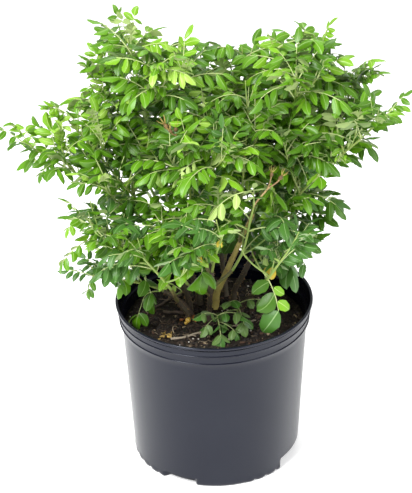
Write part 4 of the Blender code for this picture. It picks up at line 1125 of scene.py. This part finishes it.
edgeLeaves = {
    "peakTop": ("left_top", 1.97, (-0.12, 0.055, 0.628), (-0.122, 0.05, 0.652), 0.2, 1, "green", 1.5),
    "leftShoulder": ("left_peak", 1.9, (-0.144, 0.07, 0.549), (-0.17, 0.06, 0.588), 0.5, 3, "green", 1.0),
    "leftHigh": ("left_high", 1.95, (-0.19, 0.01, 0.514), (-0.222, 0.0, 0.545), 0.6, 3, "green", 1.0),
    "farLeftDroop": ("far_left", 1.6, (-0.207, 0.0, 0.457), (-0.236, -0.02, 0.437), 0.8, 3, "middle", 1.0),
    "lowLeftTip": ("left_mid", 1.8, (-0.167, -0.06, 0.368), (-0.212, -0.08, 0.327), 0.8, 3, "green", 0.9),
    "lowLeftDroop": ("left_low", 1.95, (-0.164, -0.04, 0.302), (-0.175, -0.05, 0.272), 0.5, 2, "middle", 1.2),
    "leftEdge": ("left_mid", 1.95, (-0.172, -0.065, 0.41), (-0.197, -0.08, 0.386), 0.6, 2, "fresh", 1.1),
    "rightRim": ("right_low", 1.95, (0.112, -0.065, 0.352), (0.124, -0.07, 0.315), 0.6, 2, "cool", 1.3),
    "rightHigh": ("right_high", 1.93, (0.19, 0.05, 0.553), (0.226, 0.03, 0.592), 0.7, 3, "fresh", 1.0),
    "rightTip": ("right_high", 1.98, (0.198, 0.05, 0.538), (0.234, 0.03, 0.571), 0.6, 3, "green", 1.0),
}
archingLeaves = {
    "paleLow": ("inner_right", 1.95, (0.046, -0.11, 0.462), (-0.01, -0.135, 0.436), 1.0, 2, "pale", 1.1),
    "paleHigh": ("right_inner", 1.7, (0.037, -0.07, 0.514), (-0.001, -0.1, 0.503), 0.9, 2, "pale", 1.1),
    "paleLeft": ("front_top", 1.92, (-0.014, -0.1, 0.504), (-0.053, -0.125, 0.48), 1.0, 3, "pale", 1.0),
    "yellowNode": ("front", 1.6, (-0.002, -0.125, 0.409), (0.012, -0.135, 0.397), 0.8, 1, "old", 1.1),
    "yellowLow": ("front", 1.2, (-0.007, -0.1, 0.369), (-0.024, -0.11, 0.359), 0.8, 1, "old", 1.0),
    "yellowLeft": ("inner_left", 1.75, (-0.045, -0.12, 0.425), (-0.03, -0.13, 0.415), 0.8, 1, "old", 1.0),
}


def growNamedLeaves(limbs, rows, wide):
    rng = random.Random(31)
    for carrier, share, root, tip, arch, pairs, tone, large in rows.values():
        run = limbs[carrier]["path"] if share <= 1 else planLeader(limbs[carrier])[0]
        start, along = pointAlong(run, share - (share > 1))
        root, tip = Vector(root), Vector(tip)
        length = (tip - root).length
        heading = ((tip - root).normalized() + up * arch * 0.5).normalized()
        leave = along + (root - start).normalized()
        addTwig(bentPath(start, leave, root, heading, 5), growth["singleRadius"], 6)
        roll = rng.uniform(-0.2, 0.2)
        addLeaf(root, heading, length * 1.05, arch, roll, pairs, tone, rng, large=large, wide=wide)


growShoots(limbs)
for rows, wide in ((lowLeaves, 1.35), (edgeLeaves, 1.1), (archingLeaves, 1.0)):
    growNamedLeaves(limbs, rows, wide)
makeOldHips(limbs)
makeFoliage([f"mass_{name}" for name in [*limbs, "sprout_front", "sprout_right", "hanging_leaf"]])
print("leaves:", leafCount[0], "leaflets:", leafCount[1])


# studio

camera = {"distance": 2.583, "elevation": 29.11, "aim": (-0.0098, 0.0, 0.3212), "roll": -1.11, "lens": 137.1}
studio = {
    "floor": (0.97, 0.97, 0.97), "world": (1.0, 1.0, 1.0), "floorGlow": 0.3, "worldStrength": 0.52,
    "lights": {  # place, aim, size, power
        "keyLeft": ((-1.3, -1.5, 2.3), (0.0, 0.0, 0.35), 1.2, 103.0),
        "fillRight": ((1.7, -1.2, 1.5), (0.0, 0.0, 0.35), 1.6, 30.0),
        "backTop": ((0.2, 1.3, 2.4), (0.0, 0.0, 0.35), 1.4, 22.0),
    },
}


def makeCamera():
    tilt, roll = math.radians(camera["elevation"]), math.radians(camera["roll"])
    back = Vector((0.0, -math.cos(tilt), math.sin(tilt)))
    right, over = Vector((1.0, 0.0, 0.0)), Vector((0.0, math.sin(tilt), math.cos(tilt)))
    across = right * math.cos(roll) + over * math.sin(roll)
    above = over * math.cos(roll) - right * math.sin(roll)
    data = bpy.data.cameras.new("camera")
    data.sensor_fit = "AUTO"
    data.sensor_width = 36
    data.lens = camera["lens"]
    placed = bpy.data.objects.new("camera", data)
    bpy.context.scene.collection.objects.link(placed)
    place = Matrix((across, above, back)).transposed().to_4x4()
    place.translation = Vector(camera["aim"]) + back * camera["distance"]
    placed.matrix_world = place
    bpy.context.scene.camera = placed


def makeStudio():
    scene = bpy.context.scene
    scene.view_settings.view_transform = "Standard"
    world = bpy.data.worlds.new("studio")
    scene.world = world
    world.use_nodes = True
    sky = world.node_tree.nodes["Background"]
    sky.inputs["Color"].default_value = (*studio["world"], 1)
    sky.inputs["Strength"].default_value = studio["worldStrength"]
    bpy.ops.mesh.primitive_plane_add(size=16)
    floor = bpy.context.object
    floor.name = "studioFloor"
    paper = bpy.data.materials.new("paperWhite")
    paper.use_nodes = True
    shader = paper.node_tree.nodes["Principled BSDF"]
    shader.inputs["Base Color"].default_value = (*studio["floor"], 1)
    shader.inputs["Roughness"].default_value = 0.9
    shader.inputs["Emission Color"].default_value = (1.0, 1.0, 1.0, 1)
    shader.inputs["Emission Strength"].default_value = studio["floorGlow"]
    floor.data.materials.append(paper)
    for name, (place, aim, size, power) in studio["lights"].items():
        data = bpy.data.lights.new(name, "AREA")
        data.shape = "DISK"
        data.size = size
        data.energy = power
        lamp = bpy.data.objects.new(name, data)
        lamp.location = place
        lamp.rotation_euler = (Vector(aim) - Vector(place)).to_track_quat("-Z", "Y").to_euler()
        scene.collection.objects.link(lamp)


print("studio")
makeCamera()
makeStudio()
